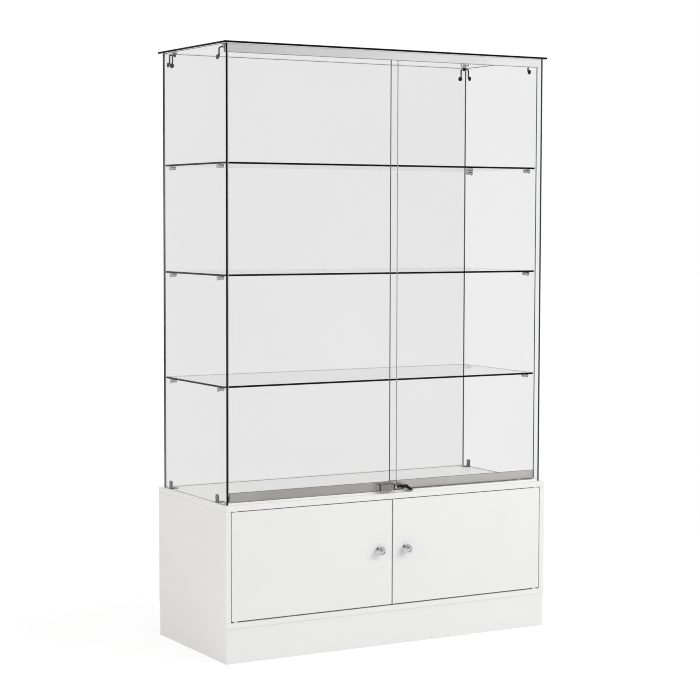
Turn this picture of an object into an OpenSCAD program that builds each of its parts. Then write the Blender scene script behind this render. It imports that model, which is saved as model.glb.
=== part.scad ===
// Glass display case on a two-door storage base.
// Millimetres, +Z up. X is centred, the floor is z = 0 and the doors face -Y.

/* [Storage base] */
// Width of the storage base
cabinet_w = 1200; // [900:10:1500]
// Depth of the storage base
cabinet_d = 500; // [420:10:600]
// Height of the recessed plinth
plinth_h = 110; // [60:5:160]
// How far the plinth stands back from the boards above it
plinth_inset = 1.5; // [0.5:0.5:20]
// Height of the base from the plinth to the deck's top
carcass_h = 384; // [300:1:600]
// Thickness of every white board
board_t = 18; // [15:1:22]
// Thickness of the back board of the storage base
back_t = 12; // [6:1:18]
// How far the centre partition stands back from the front
partition_setback = 24; // [21:1:80]
// Diameter of the wooden dowels
dowel_d = 8; // [6:1:10]
// Radial clearance of a dowel in its hole
dowel_play = 0.05; // [0.02:0.01:0.1]

/* [Cupboard doors] */
// Thickness of a cupboard door
leaf_t = 18; // [15:1:19]
// Gap beside the cupboard doors
leaf_gap = 3; // [2.5:0.5:5]
// Gap between the cupboard doors
leaf_gap_mid = 4; // [2.5:0.5:6]
// Gap above the cupboard doors, filled by the upper hinge flange
leaf_gap_top = 2.5; // [2:0.5:5]
// Gap under the cupboard doors, filled by the lower hinge flange
leaf_gap_low = 4; // [3:0.5:6]
// Distance of the hinge pin from the door's edge
pivot_in = 15; // [13:1:25]
// Diameter of the hinge pins
pivot_d = 6; // [4:1:8]
// Depth of a hinge pin in the door's edge
pivot_seat = 22; // [15:1:40]
// Radial clearance of a hinge pin in its bush
pivot_play = 0.05; // [0.02:0.01:0.1]
// Outer diameter of a hinge bush
bush_d = 10; // [9:1:12]
// Flange diameter of a hinge bush
bush_flange_d = 16; // [13:1:17]
// Depth of a hinge bush in its board
bush_depth = 11; // [8:1:14]

/* [Knobs and catches] */
// Diameter of a knob's head
knob_d = 29; // [24:1:40]
// Reach of a knob in front of the door
knob_reach = 25; // [20:1:35]
// Diameter of a knob's round foot
knob_foot_d = 27; // [14:1:34]
// Thickness of a knob's foot at its rim
knob_foot_t = 2.5; // [1.5:0.5:4]
// Diameter of a knob's neck
knob_neck_d = 11; // [8:1:14]
// Knob centre from the door's meeting edge
knob_in = 48; // [30:0.5:80]
// Knob centre above the deck's underside, measured downwards
knob_drop = 165; // [100:5:250]
// Diameter of the knob screw
knob_screw_d = 4; // [3:0.5:5]
// Width of a magnetic catch
catch_w = 45; // [30:1:60]
// Depth of a magnetic catch
catch_d = 14; // [10:1:20]
// Height of a magnetic catch
catch_h = 15; // [12:1:20]
// Catch distance from the middle of the base
catch_in = 13; // [12:1:60]
// Thickness of the steel strike plate
strike_t = 1.2; // [0.8:0.1:2]
// Gap between the closed strike plate and its catch
strike_gap = 0.3; // [0.2:0.1:0.8]

/* [Glass case] */
// Thickness of the glass
glass_t = 6; // [5:1:8]
// Height of the side panes
case_h = 1418; // [1200:1:1600]
// Side panes in from the sides of the base
pane_inset = 11; // [6:1:40]
// Side panes back from the front of the base
pane_front = 17; // [17:1:60]
// Rear pane in from the back of the base
pane_back = 19; // [4:1:60]
// Top pane in from the sides of the base
top_inset = 2; // [0:1:10]
// Top pane back from the front of the base
top_front = 4; // [0:1:15]
// Top pane in from the back of the base
top_back = 1; // [0:1:18]
// Joint between two panes that meet at a corner
pane_joint = 0.3; // [0.2:0.1:0.8]

/* [Glass shelves] */
// Height of the lowest shelf's top above the deck
shelf_first = 367; // [250:1:420]
// Distance from one shelf to the next
shelf_pitch = 346; // [250:1:380]
// Shelf front back from the front of the base
shelf_front = 48; // [48:1:120]
// Gap between a shelf and the panes
shelf_gap = 1; // [0.5:0.5:3]
// Front shelf support back from the front of the base
support_front = 84; // [70:1:160]
// Rear shelf support in from the back of the base
support_back = 65; // [50:1:140]
// Diameter of a shelf support
support_d = 13; // [10:1:18]
// Length of a shelf support
support_l = 20; // [12:1:30]
// Diameter of a shelf support's glued flange
support_flange_d = 17; // [14:1:22]
// Thickness of the clear pad on a shelf support
pad_t = 1; // [0.5:0.5:2]

/* [Top connectors] */
// Diameter of the bent rods that join the panes under the top
rod_d = 5; // [4:0.5:7]
// Diameter of a connector's glued disc
disc_d = 16; // [12:1:22]
// Thickness of a connector's glued disc
disc_t = 3; // [2:0.5:5]
// Height of a wall disc's centre below the top pane
disc_drop = 38; // [30:1:60]
// Distance from a disc's back to the centre of its rod
rod_off = 3.5; // [3:0.5:6]
// Rod bend radius
rod_bend = 8; // [7:1:12]
// Front connector back from the front of the base
spider_front = 85; // [60:1:160]
// Top disc of a front connector in from the side pane
spider_reach = 26; // [24:1:60]
// Rear connector's side disc in from the rear pane
spider_side_in = 25; // [14:1:60]
// Rear connector's back disc in from the side pane
spider_back_in = 25; // [18:1:60]

/* [Foot brackets] */
// Width of an angle bracket between a side pane and the deck
bracket_w = 20; // [14:1:30]
// Height of an angle bracket
bracket_h = 26; // [18:1:40]
// Length of a bracket's foot
bracket_foot = 24; // [18:1:40]
// Thickness of a bracket
bracket_t = 3; // [2:0.5:4]
// Front bracket back from the front of the base
bracket_front = 94; // [75:1:160]
// Rear bracket in from the back of the base
bracket_back = 60; // [48:1:140]
// Diameter of the small screws
screw_d = 3.5; // [3:0.5:4]
// Head diameter of the small screws
screw_head_d = 7; // [6:0.5:8]
// Depth of a small screw in its board
screw_deep = 14; // [8:1:16]

/* [Sliding door tracks] */
// Distance between the two door lanes
lane_pitch = 11; // [11:0.5:16]
// First lane behind the front edge of the side panes
lane_first = 7.5; // [7.5:0.5:12]
// Wall thickness of the aluminium profiles
track_wall = 1.6; // [1.2:0.1:1.6]
// Height of the top track
top_track_h = 26; // [22:1:40]
// Height of the low bottom track
low_track_h = 7; // [6:0.5:10]
// Width of a rail in the bottom track
rail_w = 2; // [1.5:0.1:2.4]
// Height of a rail above the deck
rail_h = 5.5; // [4.5:0.5:6]
// Wall thickness of the nylon liner in the top track
liner_t = 1.6; // [1:0.1:1.8]
// Number of screws in the bottom track
track_screws = 5; // [2:1:9]

/* [Sliding glass doors] */
// Overlap centre of the closed glass doors, right of the middle
meet_x = 18; // [0:1:40]
// Overlap of the closed glass doors
door_overlap = 20; // [16:1:60]
// Gap between a closed glass door and the side pane
door_side_gap = 4; // [2:1:8]
// Depth of the glass doors' top edge in the top track
door_grip = 14; // [10:1:16]
// Width of a door shoe
shoe_w = 10; // [9.6:0.1:10.4]
// Height of a door shoe
shoe_h = 27; // [26:1:40]
// Shoe's lower edge above the bottom track
shoe_gap = 2; // [1.5:0.5:4]
// Wall thickness of a shoe
shoe_wall = 1.5; // [1.2:0.1:1.7]
// Depth of the glass in its shoe
shoe_pocket = 9; // [6:0.5:9.5]
// Thickness of a shoe's end cap
shoe_cap = 2; // [1:0.5:4]
// Rim diameter of a roller
roller_d = 15; // [13:0.5:16]
// Width of a roller
roller_w = 5; // [4:0.5:5.5]
// Depth of a roller's groove
groove_d = 1.5; // [1:0.1:2]
// Width of a roller's groove
groove_w = 2.8; // [2.6:0.1:3.4]
// Gap between a roller and its rail
rail_gap = 0.3; // [0.2:0.1:0.6]
// Diameter of a roller axle
axle_d = 3; // [2:0.5:4]
// Radial clearance of a roller on its axle
axle_play = 0.05; // [0.02:0.01:0.1]
// Roller distance from the end of its door
roller_in = 60; // [50:5:120]

/* [Lock and key] */
// Length of the lock housing
lock_w = 60; // [45:1:80]
// Depth of the lock housing in front of the shoe
lock_d = 18; // [17.5:0.5:19]
// Height of the lock housing
lock_h = 21; // [20:1:24]
// Lock housing in from the edge of its door
lock_in = 17; // [14:1:30]
// Height of the key's axis above the deck
lock_axis_h = 19; // [18.5:0.5:20]
// Diameter of the lock barrel
barrel_d = 12; // [11:0.5:12.5]
// Length of the black cap at each end of the lock housing
lock_cap = 5; // [3:0.5:6]
// Rounding of the lock housing's front edges
lock_round = 3; // [1:0.5:5]
// Diameter of the barrel's head
barrel_head_d = 17.4; // [15:0.2:17.4]
// Length of the barrel's head
barrel_head_l = 6; // [4:1:10]
// Radial clearance of the barrel
barrel_play = 0.05; // [0.02:0.01:0.1]
// Crank radius of the barrel's driving pin
crank_r = 4.3; // [4:0.1:4.5]
// Diameter of the driving pin
crank_d = 2.6; // [2:0.1:2.8]
// Diameter of the locking bolt
bolt_d = 4.5; // [4:0.1:4.7]
// Gap between the locking bolt and the inner door's end
bolt_gap = 3; // [1:0.25:3]
// Thickness of the key's blade
blade_t = 2.4; // [2:0.1:3]
// Height of the key's blade
blade_h = 7.5; // [6:0.5:8]
// Length of the key's blade that stays in view
blade_l = 22; // [12:1:30]
// Length of the fixed part of the key's head
key_body_l = 15; // [12:1:24]
// Diameter of the key's fixed head at its hinge
key_body_h = 10; // [8:1:12]
// Length of the key's folding grip
grip_l = 22; // [14:1:22]
// Width of the key's folding grip
grip_w = 14; // [10:1:14]
// Thickness of the key's folding grip
grip_t = 7; // [5:0.5:7]
// Droop of the folding grip at rest, in degrees
grip_droop = 36; // [0:1:36]

/* [Hidden] */
$fn = 48;
cut = 0.01;

// levels
bottom_z = plinth_h + board_t;
deck_z = plinth_h + carcass_h;
deck_under = deck_z - board_t;
case_top = deck_z + case_h;

// plan: y is counted from the front of the base
front_y = -(cabinet_d - knob_reach) / 2;
back_y = front_y + cabinet_d;
half_w = cabinet_w / 2;
inner_x = half_w - board_t;
pane_x = half_w - pane_inset - glass_t;
pane_y0 = front_y + pane_front;
pane_y1 = back_y - pane_back;
rear_y = pane_y1 - glass_t;

// cupboard doors
leaf_z0 = bottom_z + leaf_gap_low;
leaf_z1 = deck_under - leaf_gap_top;
leaf_x1 = inner_x - leaf_gap;
pivot_x = leaf_x1 - pivot_in;
pivot_y = front_y + leaf_t / 2;
flange_play = 0.1;
knob_x = leaf_gap_mid / 2 + knob_in;
knob_z = deck_under - knob_drop;
knob_screw_in = 12;
knob_screw_head_d = 8;
knob_screw_head_l = 2.5;
catch_y = front_y + leaf_t + strike_t + strike_gap;
strike_margin = 2;

// dowels in the base
dowel_up = 12;
dowel_down = 17;
dowel_end_gap = 0.5;
dowel_edge = 60;
side_dowels = [for (y = [dowel_edge, cabinet_d / 2, cabinet_d - dowel_edge], s = [-1, 1])
    [s * (half_w - board_t / 2), front_y + y]];
partition_dowels = [for (y = [partition_setback + dowel_edge, cabinet_d - dowel_edge])
    [0, front_y + y]];

// shelves, lowest first
shelf_tops = [for (i = [0 : 2]) deck_z + shelf_first + i * shelf_pitch];
support_ys = [front_y + support_front, back_y - support_back];
support_flat = support_d * 0.35;
support_flange_t = 2;

// tracks and doors
lane_y = [pane_y0 + lane_first, pane_y0 + lane_first + lane_pitch];
track_end_gap = 0.5;
track_x = pane_x - track_end_gap;
top_track_z = case_top - top_track_h;
slot_half = (lane_pitch - track_wall) / 2;
track_y0 = lane_y[0] - slot_half - track_wall;
track_y1 = lane_y[1] + slot_half + track_wall;
liner_gap = 0.1;
liner_slot_gap = 0.4;
door_top = top_track_z + door_grip;
shoe_z0 = deck_z + low_track_h + shoe_gap;
shoe_z1 = shoe_z0 + shoe_h;
glass_z0 = shoe_z1 - shoe_pocket;
shoe_web = 1.2;
outer_x = [-(pane_x - door_side_gap), meet_x + door_overlap / 2];
inner_door_x = [meet_x - door_overlap / 2, pane_x - door_side_gap];
axle_z = deck_z + rail_h + rail_gap + roller_d / 2 - groove_d;
track_screw_y = (lane_y[0] + lane_y[1]) / 2;
track_screw_edge = 80;

// lock
lock_x1 = outer_x[1] - lock_in;
lock_x0 = lock_x1 - lock_w;
shoe_front = lane_y[0] - shoe_w / 2;
lock_y0 = shoe_front - lock_d;
lock_y = (lock_y0 + shoe_front) / 2;
lock_z = deck_z + lock_axis_h;
cap_proud = 0.4;
bolt_x = inner_door_x[0] - bolt_gap - bolt_d / 2;
crank_y = lock_y - crank_r * sin(45);
crank_z = lock_z + crank_r * (1 + cos(45)) / 2;
slot_play = 0.35;
yoke_wall = 1.5;
yoke_half_y = crank_d / 2 + slot_play + yoke_wall;
yoke_z0 = lock_z + crank_r * cos(45) - crank_d / 2 - slot_play - 1;
yoke_z1 = lock_z + crank_r + crank_d / 2 + slot_play + 1.2;
yoke_x0 = bolt_x - bolt_d / 2;
yoke_x1 = bolt_x + bolt_d / 2 + 0.4;
barrel_x0 = yoke_x1 + 0.6;
bolt_stroke = 2 * crank_r * sin(45);
room_gap = 0.3;
bolt_tip_y = lane_y[0] + shoe_w / 2 - 0.1;
bolt_play = 0.1;
head_gap = 0.2;
head_x1 = lock_x1 + head_gap + barrel_head_l;
key_x0 = head_x1 + blade_l;
fold_x = key_x0 + key_body_l + key_body_h / 2 - 1;
fold_pin_d = 2.5;
fold_play = 0.06;
tongue_w = 4;
tongue_gap = 0.2;
key_body_w = 9;

// ---------- shared shapes ----------

// A box between two opposite corners
module block(lo, hi) {
    translate(lo) cube(hi - lo);
}

// A cylinder along +X, centred on the point p
module rod_x(p, d, l) {
    translate(p) rotate([0, 90, 0]) cylinder(d = d, h = l);
}

// A cylinder along +Y, centred on the point p
module rod_y(p, d, l) {
    translate(p) rotate([-90, 0, 0]) cylinder(d = d, h = l);
}

// The children and their mirror image across the middle
module both_sides() {
    children();
    mirror([1, 0, 0]) children();
}

// Dowels or their holes: one joint at each spot on the plane z, up into the board above
module dowels_at(z, up, down, grow) {
    for (p = concat(side_dowels, partition_dowels))
        translate([p[0], p[1], z - down]) cylinder(d = dowel_d + 2 * grow, h = up + down);
}

// Dowel holes on both joint planes
module dowel_holes() {
    dowels_at(deck_under, dowel_up + dowel_end_gap, dowel_down + dowel_end_gap, dowel_play);
    dowels_at(bottom_z, dowel_down + dowel_end_gap, dowel_up + dowel_end_gap, dowel_play);
}

// Screw with a flat round head, standing with the underside of its head at the origin
module screw(d, l, head_d, head_l) {
    translate([0, 0, -l]) cylinder(d = d, h = l);
    cylinder(d = head_d, h = head_l);
}

// ---------- storage base ----------

module plinth_front() {
    color("whitesmoke")
    block([-half_w + plinth_inset, front_y + plinth_inset, 0],
        [half_w - plinth_inset, front_y + plinth_inset + board_t, plinth_h]);
}

module plinth_back() {
    color("whitesmoke")
    block([-half_w + plinth_inset, back_y - plinth_inset - board_t, 0],
        [half_w - plinth_inset, back_y - plinth_inset, plinth_h]);
}

module plinth_sides() {
    color("whitesmoke")
    both_sides()
    block([half_w - plinth_inset - board_t, front_y + plinth_inset + board_t, 0],
        [half_w - plinth_inset, back_y - plinth_inset - board_t, plinth_h]);
}

module plinth_bearers() {
    color("gainsboro")
    both_sides()
    block([cabinet_w / 6 - board_t / 2, front_y + plinth_inset + board_t, 0],
        [cabinet_w / 6 + board_t / 2, back_y - plinth_inset - board_t, plinth_h]);
}

module bush_holes() {
    both_sides() translate([pivot_x, pivot_y, 0]) {
        translate([0, 0, bottom_z - bush_depth]) cylinder(d = bush_d, h = bush_depth + cut);
        translate([0, 0, deck_under - cut]) cylinder(d = bush_d, h = bush_depth + cut);
    }
}

module bottom_panel() {
    color("white")
    difference() {
        block([-half_w, front_y, plinth_h], [half_w, back_y, bottom_z]);
        dowel_holes();
        bush_holes();
    }
}

module side_board() {
    difference() {
        block([inner_x, front_y, bottom_z], [half_w, back_y, deck_under]);
        dowel_holes();
    }
}

module side_left() {
    color("gainsboro") mirror([1, 0, 0]) side_board();
}

module side_right() {
    color("gainsboro") side_board();
}

module centre_partition() {
    color("white")
    difference() {
        block([-board_t / 2, front_y + partition_setback, bottom_z],
            [board_t / 2, back_y - back_t, deck_under]);
        dowel_holes();
    }
}

module screw_holes_in_deck() {
    for (y = bracket_ys())
        both_sides() translate([bracket_screw_x(), y, deck_z - screw_deep])
            cylinder(d = screw_d, h = screw_deep + cut);
    for (x = track_screw_xs())
        translate([x, track_screw_y, deck_z - screw_deep])
            cylinder(d = screw_d, h = screw_deep + cut);
}

module deck() {
    color("white")
    difference() {
        block([-half_w, front_y, deck_under], [half_w, back_y, deck_z]);
        dowel_holes();
        bush_holes();
        screw_holes_in_deck();
    }
}

module cabinet_back() {
    color("gainsboro")
    block([-inner_x, back_y - back_t, bottom_z], [inner_x, back_y, deck_under]);
}

module carcass_dowels() {
    color("burlywood") {
        dowels_at(deck_under, dowel_up, dowel_down, 0);
        dowels_at(bottom_z, dowel_down, dowel_up, 0);
    }
}

// ---------- cupboard doors ----------

module bush(flange_t) {
    difference() {
        union() {
            translate([0, 0, -bush_depth]) cylinder(d = bush_d, h = bush_depth);
            cylinder(d = bush_flange_d, h = flange_t);
        }
        translate([0, 0, 1 - bush_depth])
            cylinder(d = pivot_d + 2 * pivot_play, h = bush_depth + flange_t);
    }
}

module hinge_bushes() {
    color("ivory")
    both_sides() translate([pivot_x, pivot_y, 0]) {
        translate([0, 0, bottom_z]) bush(leaf_gap_low - flange_play);
        translate([0, 0, deck_under]) mirror([0, 0, 1]) bush(leaf_gap_top - 2 * flange_play);
    }
}

module leaf() {
    difference() {
        block([leaf_gap_mid / 2, front_y, leaf_z0], [leaf_x1, front_y + leaf_t, leaf_z1]);
        translate([pivot_x, pivot_y, leaf_z0 - cut]) cylinder(d = pivot_d, h = pivot_seat + cut);
        translate([pivot_x, pivot_y, leaf_z1 - pivot_seat])
            cylinder(d = pivot_d, h = pivot_seat + cut);
        rod_y([knob_x, front_y - cut, knob_z], knob_screw_d, leaf_t + 2 * cut);
    }
}

module leaf_pins() {
    pin_reach = bush_depth - 2;
    translate([pivot_x, pivot_y, bottom_z - pin_reach])
        cylinder(d = pivot_d, h = pin_reach + leaf_gap_low + pivot_seat);
    translate([pivot_x, pivot_y, leaf_z1 - pivot_seat])
        cylinder(d = pivot_d, h = pivot_seat + leaf_gap_top + pin_reach);
}

// Half outline of a knob, as [radius, distance from the door]
function knob_outline() = let (r = knob_d / 2, rim = knob_reach * 0.72) concat(
    [[0, 0], [knob_foot_d / 2, 0], [knob_foot_d / 2, knob_foot_t],
        [(knob_foot_d + knob_neck_d) / 4, knob_foot_t + 1.2], [knob_neck_d / 2, knob_reach * 0.26],
        [knob_neck_d / 2, knob_reach * 0.38], [knob_d * 0.3, knob_reach * 0.54]],
    [for (a = [-60 : 15 : 90]) [r - 4 + 4 * cos(a), rim + 4 * sin(a)]],
    [[r * 0.6, rim + 3], [r * 0.52, rim + 3.4]],
    [for (a = [60 : -15 : 0]) [r * 0.5 * sin(a), rim + 3.4 + (knob_reach - rim - 3.4) * cos(a)]]);

module knob() {
    difference() {
        translate([knob_x, front_y, knob_z]) rotate([90, 0, 0])
            rotate_extrude() polygon(knob_outline());
        rod_y([knob_x, front_y - knob_screw_in, knob_z], knob_screw_d, knob_screw_in + cut);
    }
}

module knob_screw() {
    translate([knob_x, front_y + leaf_t, knob_z]) rotate([-90, 0, 0])
        screw(knob_screw_d, leaf_t + knob_screw_in - 1, knob_screw_head_d, knob_screw_head_l);
}

module strike_plate() {
    block([catch_in + strike_margin, front_y + leaf_t, deck_under - catch_h + strike_margin],
        [catch_in + catch_w - strike_margin, front_y + leaf_t + strike_t, leaf_z1 - strike_margin]);
}

module magnetic_catches() {
    color("white")
    both_sides()
    block([catch_in, catch_y, deck_under - catch_h],
        [catch_in + catch_w, catch_y + catch_d, deck_under]);
}

module cupboard_door_left() {
    color("white") mirror([1, 0, 0]) leaf();
}

module cupboard_door_right() {
    color("white") leaf();
}

module door_pins_left() {
    color("silver") mirror([1, 0, 0]) leaf_pins();
}

module door_pins_right() {
    color("silver") leaf_pins();
}

module knob_left() {
    color("silver") mirror([1, 0, 0]) knob();
}

module knob_right() {
    color("silver") knob();
}

module knob_screw_left() {
    color("silver") mirror([1, 0, 0]) knob_screw();
}

module knob_screw_right() {
    color("silver") knob_screw();
}

module strike_plate_left() {
    color("lightgray") mirror([1, 0, 0]) strike_plate();
}

module strike_plate_right() {
    color("lightgray") strike_plate();
}

// ---------- glass case ----------

module side_pane() {
    block([pane_x, pane_y0, deck_z], [pane_x + glass_t, pane_y1, case_top]);
}

module glass_side_left() {
    color("lightcyan", 0.4) mirror([1, 0, 0]) side_pane();
}

module glass_side_right() {
    color("lightcyan", 0.4) side_pane();
}

module glass_back() {
    color("lightcyan", 0.4)
    block([-pane_x + pane_joint, rear_y, deck_z], [pane_x - pane_joint, pane_y1, case_top]);
}

module glass_top() {
    color("lightcyan", 0.4)
    block([-half_w + top_inset, front_y + top_front, case_top],
        [half_w - top_inset, back_y - top_back, case_top + glass_t]);
}

module shelf(i) {
    block([-pane_x + shelf_gap, front_y + shelf_front, shelf_tops[i] - glass_t],
        [pane_x - shelf_gap, rear_y - shelf_gap, shelf_tops[i]]);
}

module shelf_lower() {
    color("lightcyan", 0.5) shelf(0);
}

module shelf_middle() {
    color("lightcyan", 0.5) shelf(1);
}

module shelf_upper() {
    color("lightcyan", 0.5) shelf(2);
}

// One support: a flange glued to the pane and a peg with a flat top
module support(y, z) {
    difference() {
        union() {
            rod_x([pane_x - support_flange_t, y, z], support_flange_d, support_flange_t);
            rod_x([pane_x - support_l, y, z], support_d, support_l);
        }
        block([pane_x - support_l - 1, y - support_d, z + support_flat],
            [pane_x + 1, y + support_d, z + support_flange_d]);
    }
}

module shelf_supports() {
    color("silver")
    for (top = shelf_tops, y = support_ys)
        both_sides() support(y, top - glass_t - pad_t - support_flat);
}

module shelf_pads() {
    color("white", 0.6)
    for (top = shelf_tops, y = support_ys)
        both_sides() block([pane_x - support_l + 1, y - support_d / 4, top - glass_t - pad_t],
            [pane_x - support_flange_t - 1, y + support_d / 4, top - glass_t]);
}

// ---------- connectors under the top pane ----------

// A glued disc on the side pane, centred at y, z
module side_disc(y, z) {
    rod_x([pane_x - disc_t, y, z], disc_d, disc_t);
}

// A glued disc under the top pane
module top_disc(x, y) {
    translate([x, y, case_top - disc_t]) cylinder(d = disc_d, h = disc_t);
}

// Vertical rod with a round lower end and a short foot to its disc
module drop_rod(p, top_z) {
    translate(p) sphere(d = rod_d);
    translate(p) cylinder(d = rod_d, h = top_z - p[2]);
}

module connector_front() {
    y = front_y + spider_front;
    z = case_top - disc_drop;
    rod_x_pos = pane_x - disc_t - rod_off;
    bend_z = case_top - disc_t - rod_off - rod_bend;
    side_disc(y, z);
    rod_x([rod_x_pos, y, z], rod_d, rod_off + 1);
    drop_rod([rod_x_pos, y, z], bend_z);
    translate([rod_x_pos - rod_bend, y, bend_z]) rotate([90, 0, 0])
        rotate_extrude(angle = 90) translate([rod_bend, 0]) circle(d = rod_d);
    rod_x([pane_x - spider_reach, y, bend_z + rod_bend], rod_d,
        spider_reach - disc_t - rod_off - rod_bend);
    translate([pane_x - spider_reach, y, bend_z + rod_bend]) sphere(d = rod_d);
    translate([pane_x - spider_reach, y, bend_z + rod_bend]) cylinder(d = rod_d, h = rod_off + 1);
    top_disc(pane_x - spider_reach, y);
}

module connector_rear() {
    side_y = rear_y - spider_side_in;
    back_x = pane_x - spider_back_in;
    z = case_top - disc_drop;
    rod_x_pos = pane_x - disc_t - rod_off;
    rod_y_pos = rear_y - disc_t - rod_off;
    arm_z = case_top - disc_t - rod_off;
    side_disc(side_y, z);
    rod_x([rod_x_pos, side_y, z], rod_d, rod_off + 1);
    drop_rod([rod_x_pos, side_y, z], arm_z);
    translate([rod_x_pos, side_y, arm_z]) sphere(d = rod_d);
    rod_x([back_x, side_y, arm_z], rod_d, rod_x_pos - back_x);
    rod_y([back_x, rear_y - disc_t, z], disc_d, disc_t);
    rod_y([back_x, rod_y_pos, z], rod_d, rod_off + 1);
    drop_rod([back_x, rod_y_pos, z], arm_z);
    translate([back_x, rod_y_pos, arm_z]) sphere(d = rod_d);
    rod_y([back_x, side_y, arm_z], rod_d, rod_y_pos - side_y);
    translate([back_x, side_y, arm_z]) sphere(d = rod_d + 3);
    translate([back_x, side_y, arm_z]) cylinder(d = rod_d, h = rod_off + 3);
    top_disc(back_x, side_y);
}

module connectors_front() {
    color("silver") both_sides() connector_front();
}

module connectors_rear() {
    color("silver") both_sides() connector_rear();
}

// ---------- brackets on the deck ----------

function bracket_ys() = [front_y + bracket_front, back_y - bracket_back];
function bracket_screw_x() = pane_x - bracket_foot * 0.6;

module foot_brackets() {
    color("silver")
    for (y = bracket_ys()) both_sides() difference() {
        union() {
            block([pane_x - bracket_t, y - bracket_w / 2, deck_z],
                [pane_x, y + bracket_w / 2, deck_z + bracket_h]);
            block([pane_x - bracket_foot, y - bracket_w / 2, deck_z],
                [pane_x, y + bracket_w / 2, deck_z + bracket_t]);
        }
        translate([bracket_screw_x(), y, deck_z - cut])
            cylinder(d = screw_d, h = bracket_t + 2 * cut);
    }
}

module bracket_screws() {
    color("silver")
    for (y = bracket_ys()) both_sides() translate([bracket_screw_x(), y, deck_z + bracket_t])
        screw(screw_d, bracket_t + screw_deep - 1, screw_head_d, 1.6);
}

// ---------- tracks ----------

module top_track() {
    color("lightgray")
    difference() {
        block([-track_x, track_y0, top_track_z], [track_x, track_y1, case_top]);
        for (y = lane_y)
            block([-track_x - 1, y - slot_half, top_track_z - 1],
                [track_x + 1, y + slot_half, case_top - track_wall]);
    }
}

module top_track_liners() {
    half = slot_half - liner_gap;
    inner = glass_t / 2 + liner_slot_gap;
    color("dimgray")
    for (y = lane_y) difference() {
        block([-track_x, y - half, top_track_z + 1], [track_x, y + half, case_top - track_wall]);
        block([-track_x - 1, y - inner, top_track_z],
            [track_x + 1, y + inner, case_top - track_wall - liner_t]);
    }
}

function track_screw_xs() = [for (i = [0 : track_screws - 1])
    (track_x - track_screw_edge) * (2 * i / (track_screws - 1) - 1)];

module bottom_track() {
    color("lightgray")
    difference() {
        union() {
            block([-track_x, track_y0, deck_z], [track_x, track_y1, deck_z + track_wall]);
            block([-track_x, track_y0, deck_z], [track_x, track_y0 + track_wall, deck_z + low_track_h]);
            block([-track_x, track_y1 - track_wall, deck_z], [track_x, track_y1, deck_z + low_track_h]);
            for (y = lane_y) {
                block([-track_x, y - rail_w / 2, deck_z],
                    [track_x, y + rail_w / 2, deck_z + rail_h - rail_w / 2]);
                rod_x([-track_x, y, deck_z + rail_h - rail_w / 2], rail_w, 2 * track_x);
            }
        }
        for (x = track_screw_xs()) translate([x, track_screw_y, deck_z - cut])
            cylinder(d = screw_d, h = track_wall + 2 * cut);
    }
}

module track_screw_set() {
    color("silver")
    for (x = track_screw_xs()) translate([x, track_screw_y, deck_z + track_wall])
        screw(screw_d, track_wall + screw_deep - 1, screw_head_d, 1.6);
}

// ---------- sliding glass doors ----------

module door_glass(xs, y) {
    block([xs[0], y - glass_t / 2, glass_z0], [xs[1], y + glass_t / 2, door_top]);
}

// The shoe under a door: a glass pocket above, room for the rollers below
module shoe(xs, y) {
    x0 = xs[0] + shoe_cap;
    x1 = xs[1] - shoe_cap;
    inside = shoe_w / 2 - shoe_wall;
    difference() {
        block([x0, y - shoe_w / 2, shoe_z0], [x1, y + shoe_w / 2, shoe_z1]);
        block([x0 - 1, y - glass_t / 2, glass_z0], [x1 + 1, y + glass_t / 2, shoe_z1 + 1]);
        block([x0 - 1, y - inside, shoe_z0 - 1], [x1 + 1, y + inside, glass_z0 - shoe_web]);
        for (x = roller_xs(xs)) rod_y([x, y - shoe_w / 2 - 1, axle_z], axle_d, shoe_w + 2);
    }
}

module shoe_caps(xs, y) {
    for (x = [xs[0], xs[1] - shoe_cap]) difference() {
        block([x, y - shoe_w / 2, shoe_z0], [x + shoe_cap, y + shoe_w / 2, shoe_z1]);
        block([x - 1, y - glass_t / 2, glass_z0], [x + shoe_cap + 1, y + glass_t / 2, shoe_z1 + 1]);
    }
}

function roller_xs(xs) = [xs[0] + roller_in, xs[1] - roller_in];

module axles(xs, y) {
    for (x = roller_xs(xs)) rod_y([x, y - shoe_w / 2, axle_z], axle_d, shoe_w);
}

module roller(x, y) {
    groove_r = roller_d / 2 - groove_d;
    translate([x, y, axle_z]) rotate([90, 0, 0]) rotate_extrude() polygon([
        [axle_d / 2 + axle_play, -roller_w / 2], [roller_d / 2, -roller_w / 2],
        [roller_d / 2, -groove_w / 2], [groove_r, -groove_w / 2], [groove_r, groove_w / 2],
        [roller_d / 2, groove_w / 2], [roller_d / 2, roller_w / 2],
        [axle_d / 2 + axle_play, roller_w / 2]]);
}

module outer_glass_door() {
    color("lightcyan", 0.4) door_glass(outer_x, lane_y[0]);
}

module outer_shoe() {
    color("darkgray")
    difference() {
        shoe(outer_x, lane_y[0]);
        rod_y([bolt_x, shoe_front - 1, crank_z], bolt_d + 2 * bolt_play, shoe_w + 2);
    }
}

module outer_shoe_caps() {
    color("black") shoe_caps(outer_x, lane_y[0]);
}

module outer_axles() {
    color("silver") axles(outer_x, lane_y[0]);
}

module outer_roller_left() {
    color("ivory") roller(roller_xs(outer_x)[0], lane_y[0]);
}

module outer_roller_right() {
    color("ivory") roller(roller_xs(outer_x)[1], lane_y[0]);
}

module inner_glass_door() {
    color("lightcyan", 0.4) door_glass(inner_door_x, lane_y[1]);
}

module inner_shoe() {
    color("darkgray") shoe(inner_door_x, lane_y[1]);
}

module inner_shoe_caps() {
    color("black") shoe_caps(inner_door_x, lane_y[1]);
}

module inner_axles() {
    color("silver") axles(inner_door_x, lane_y[1]);
}

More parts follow.
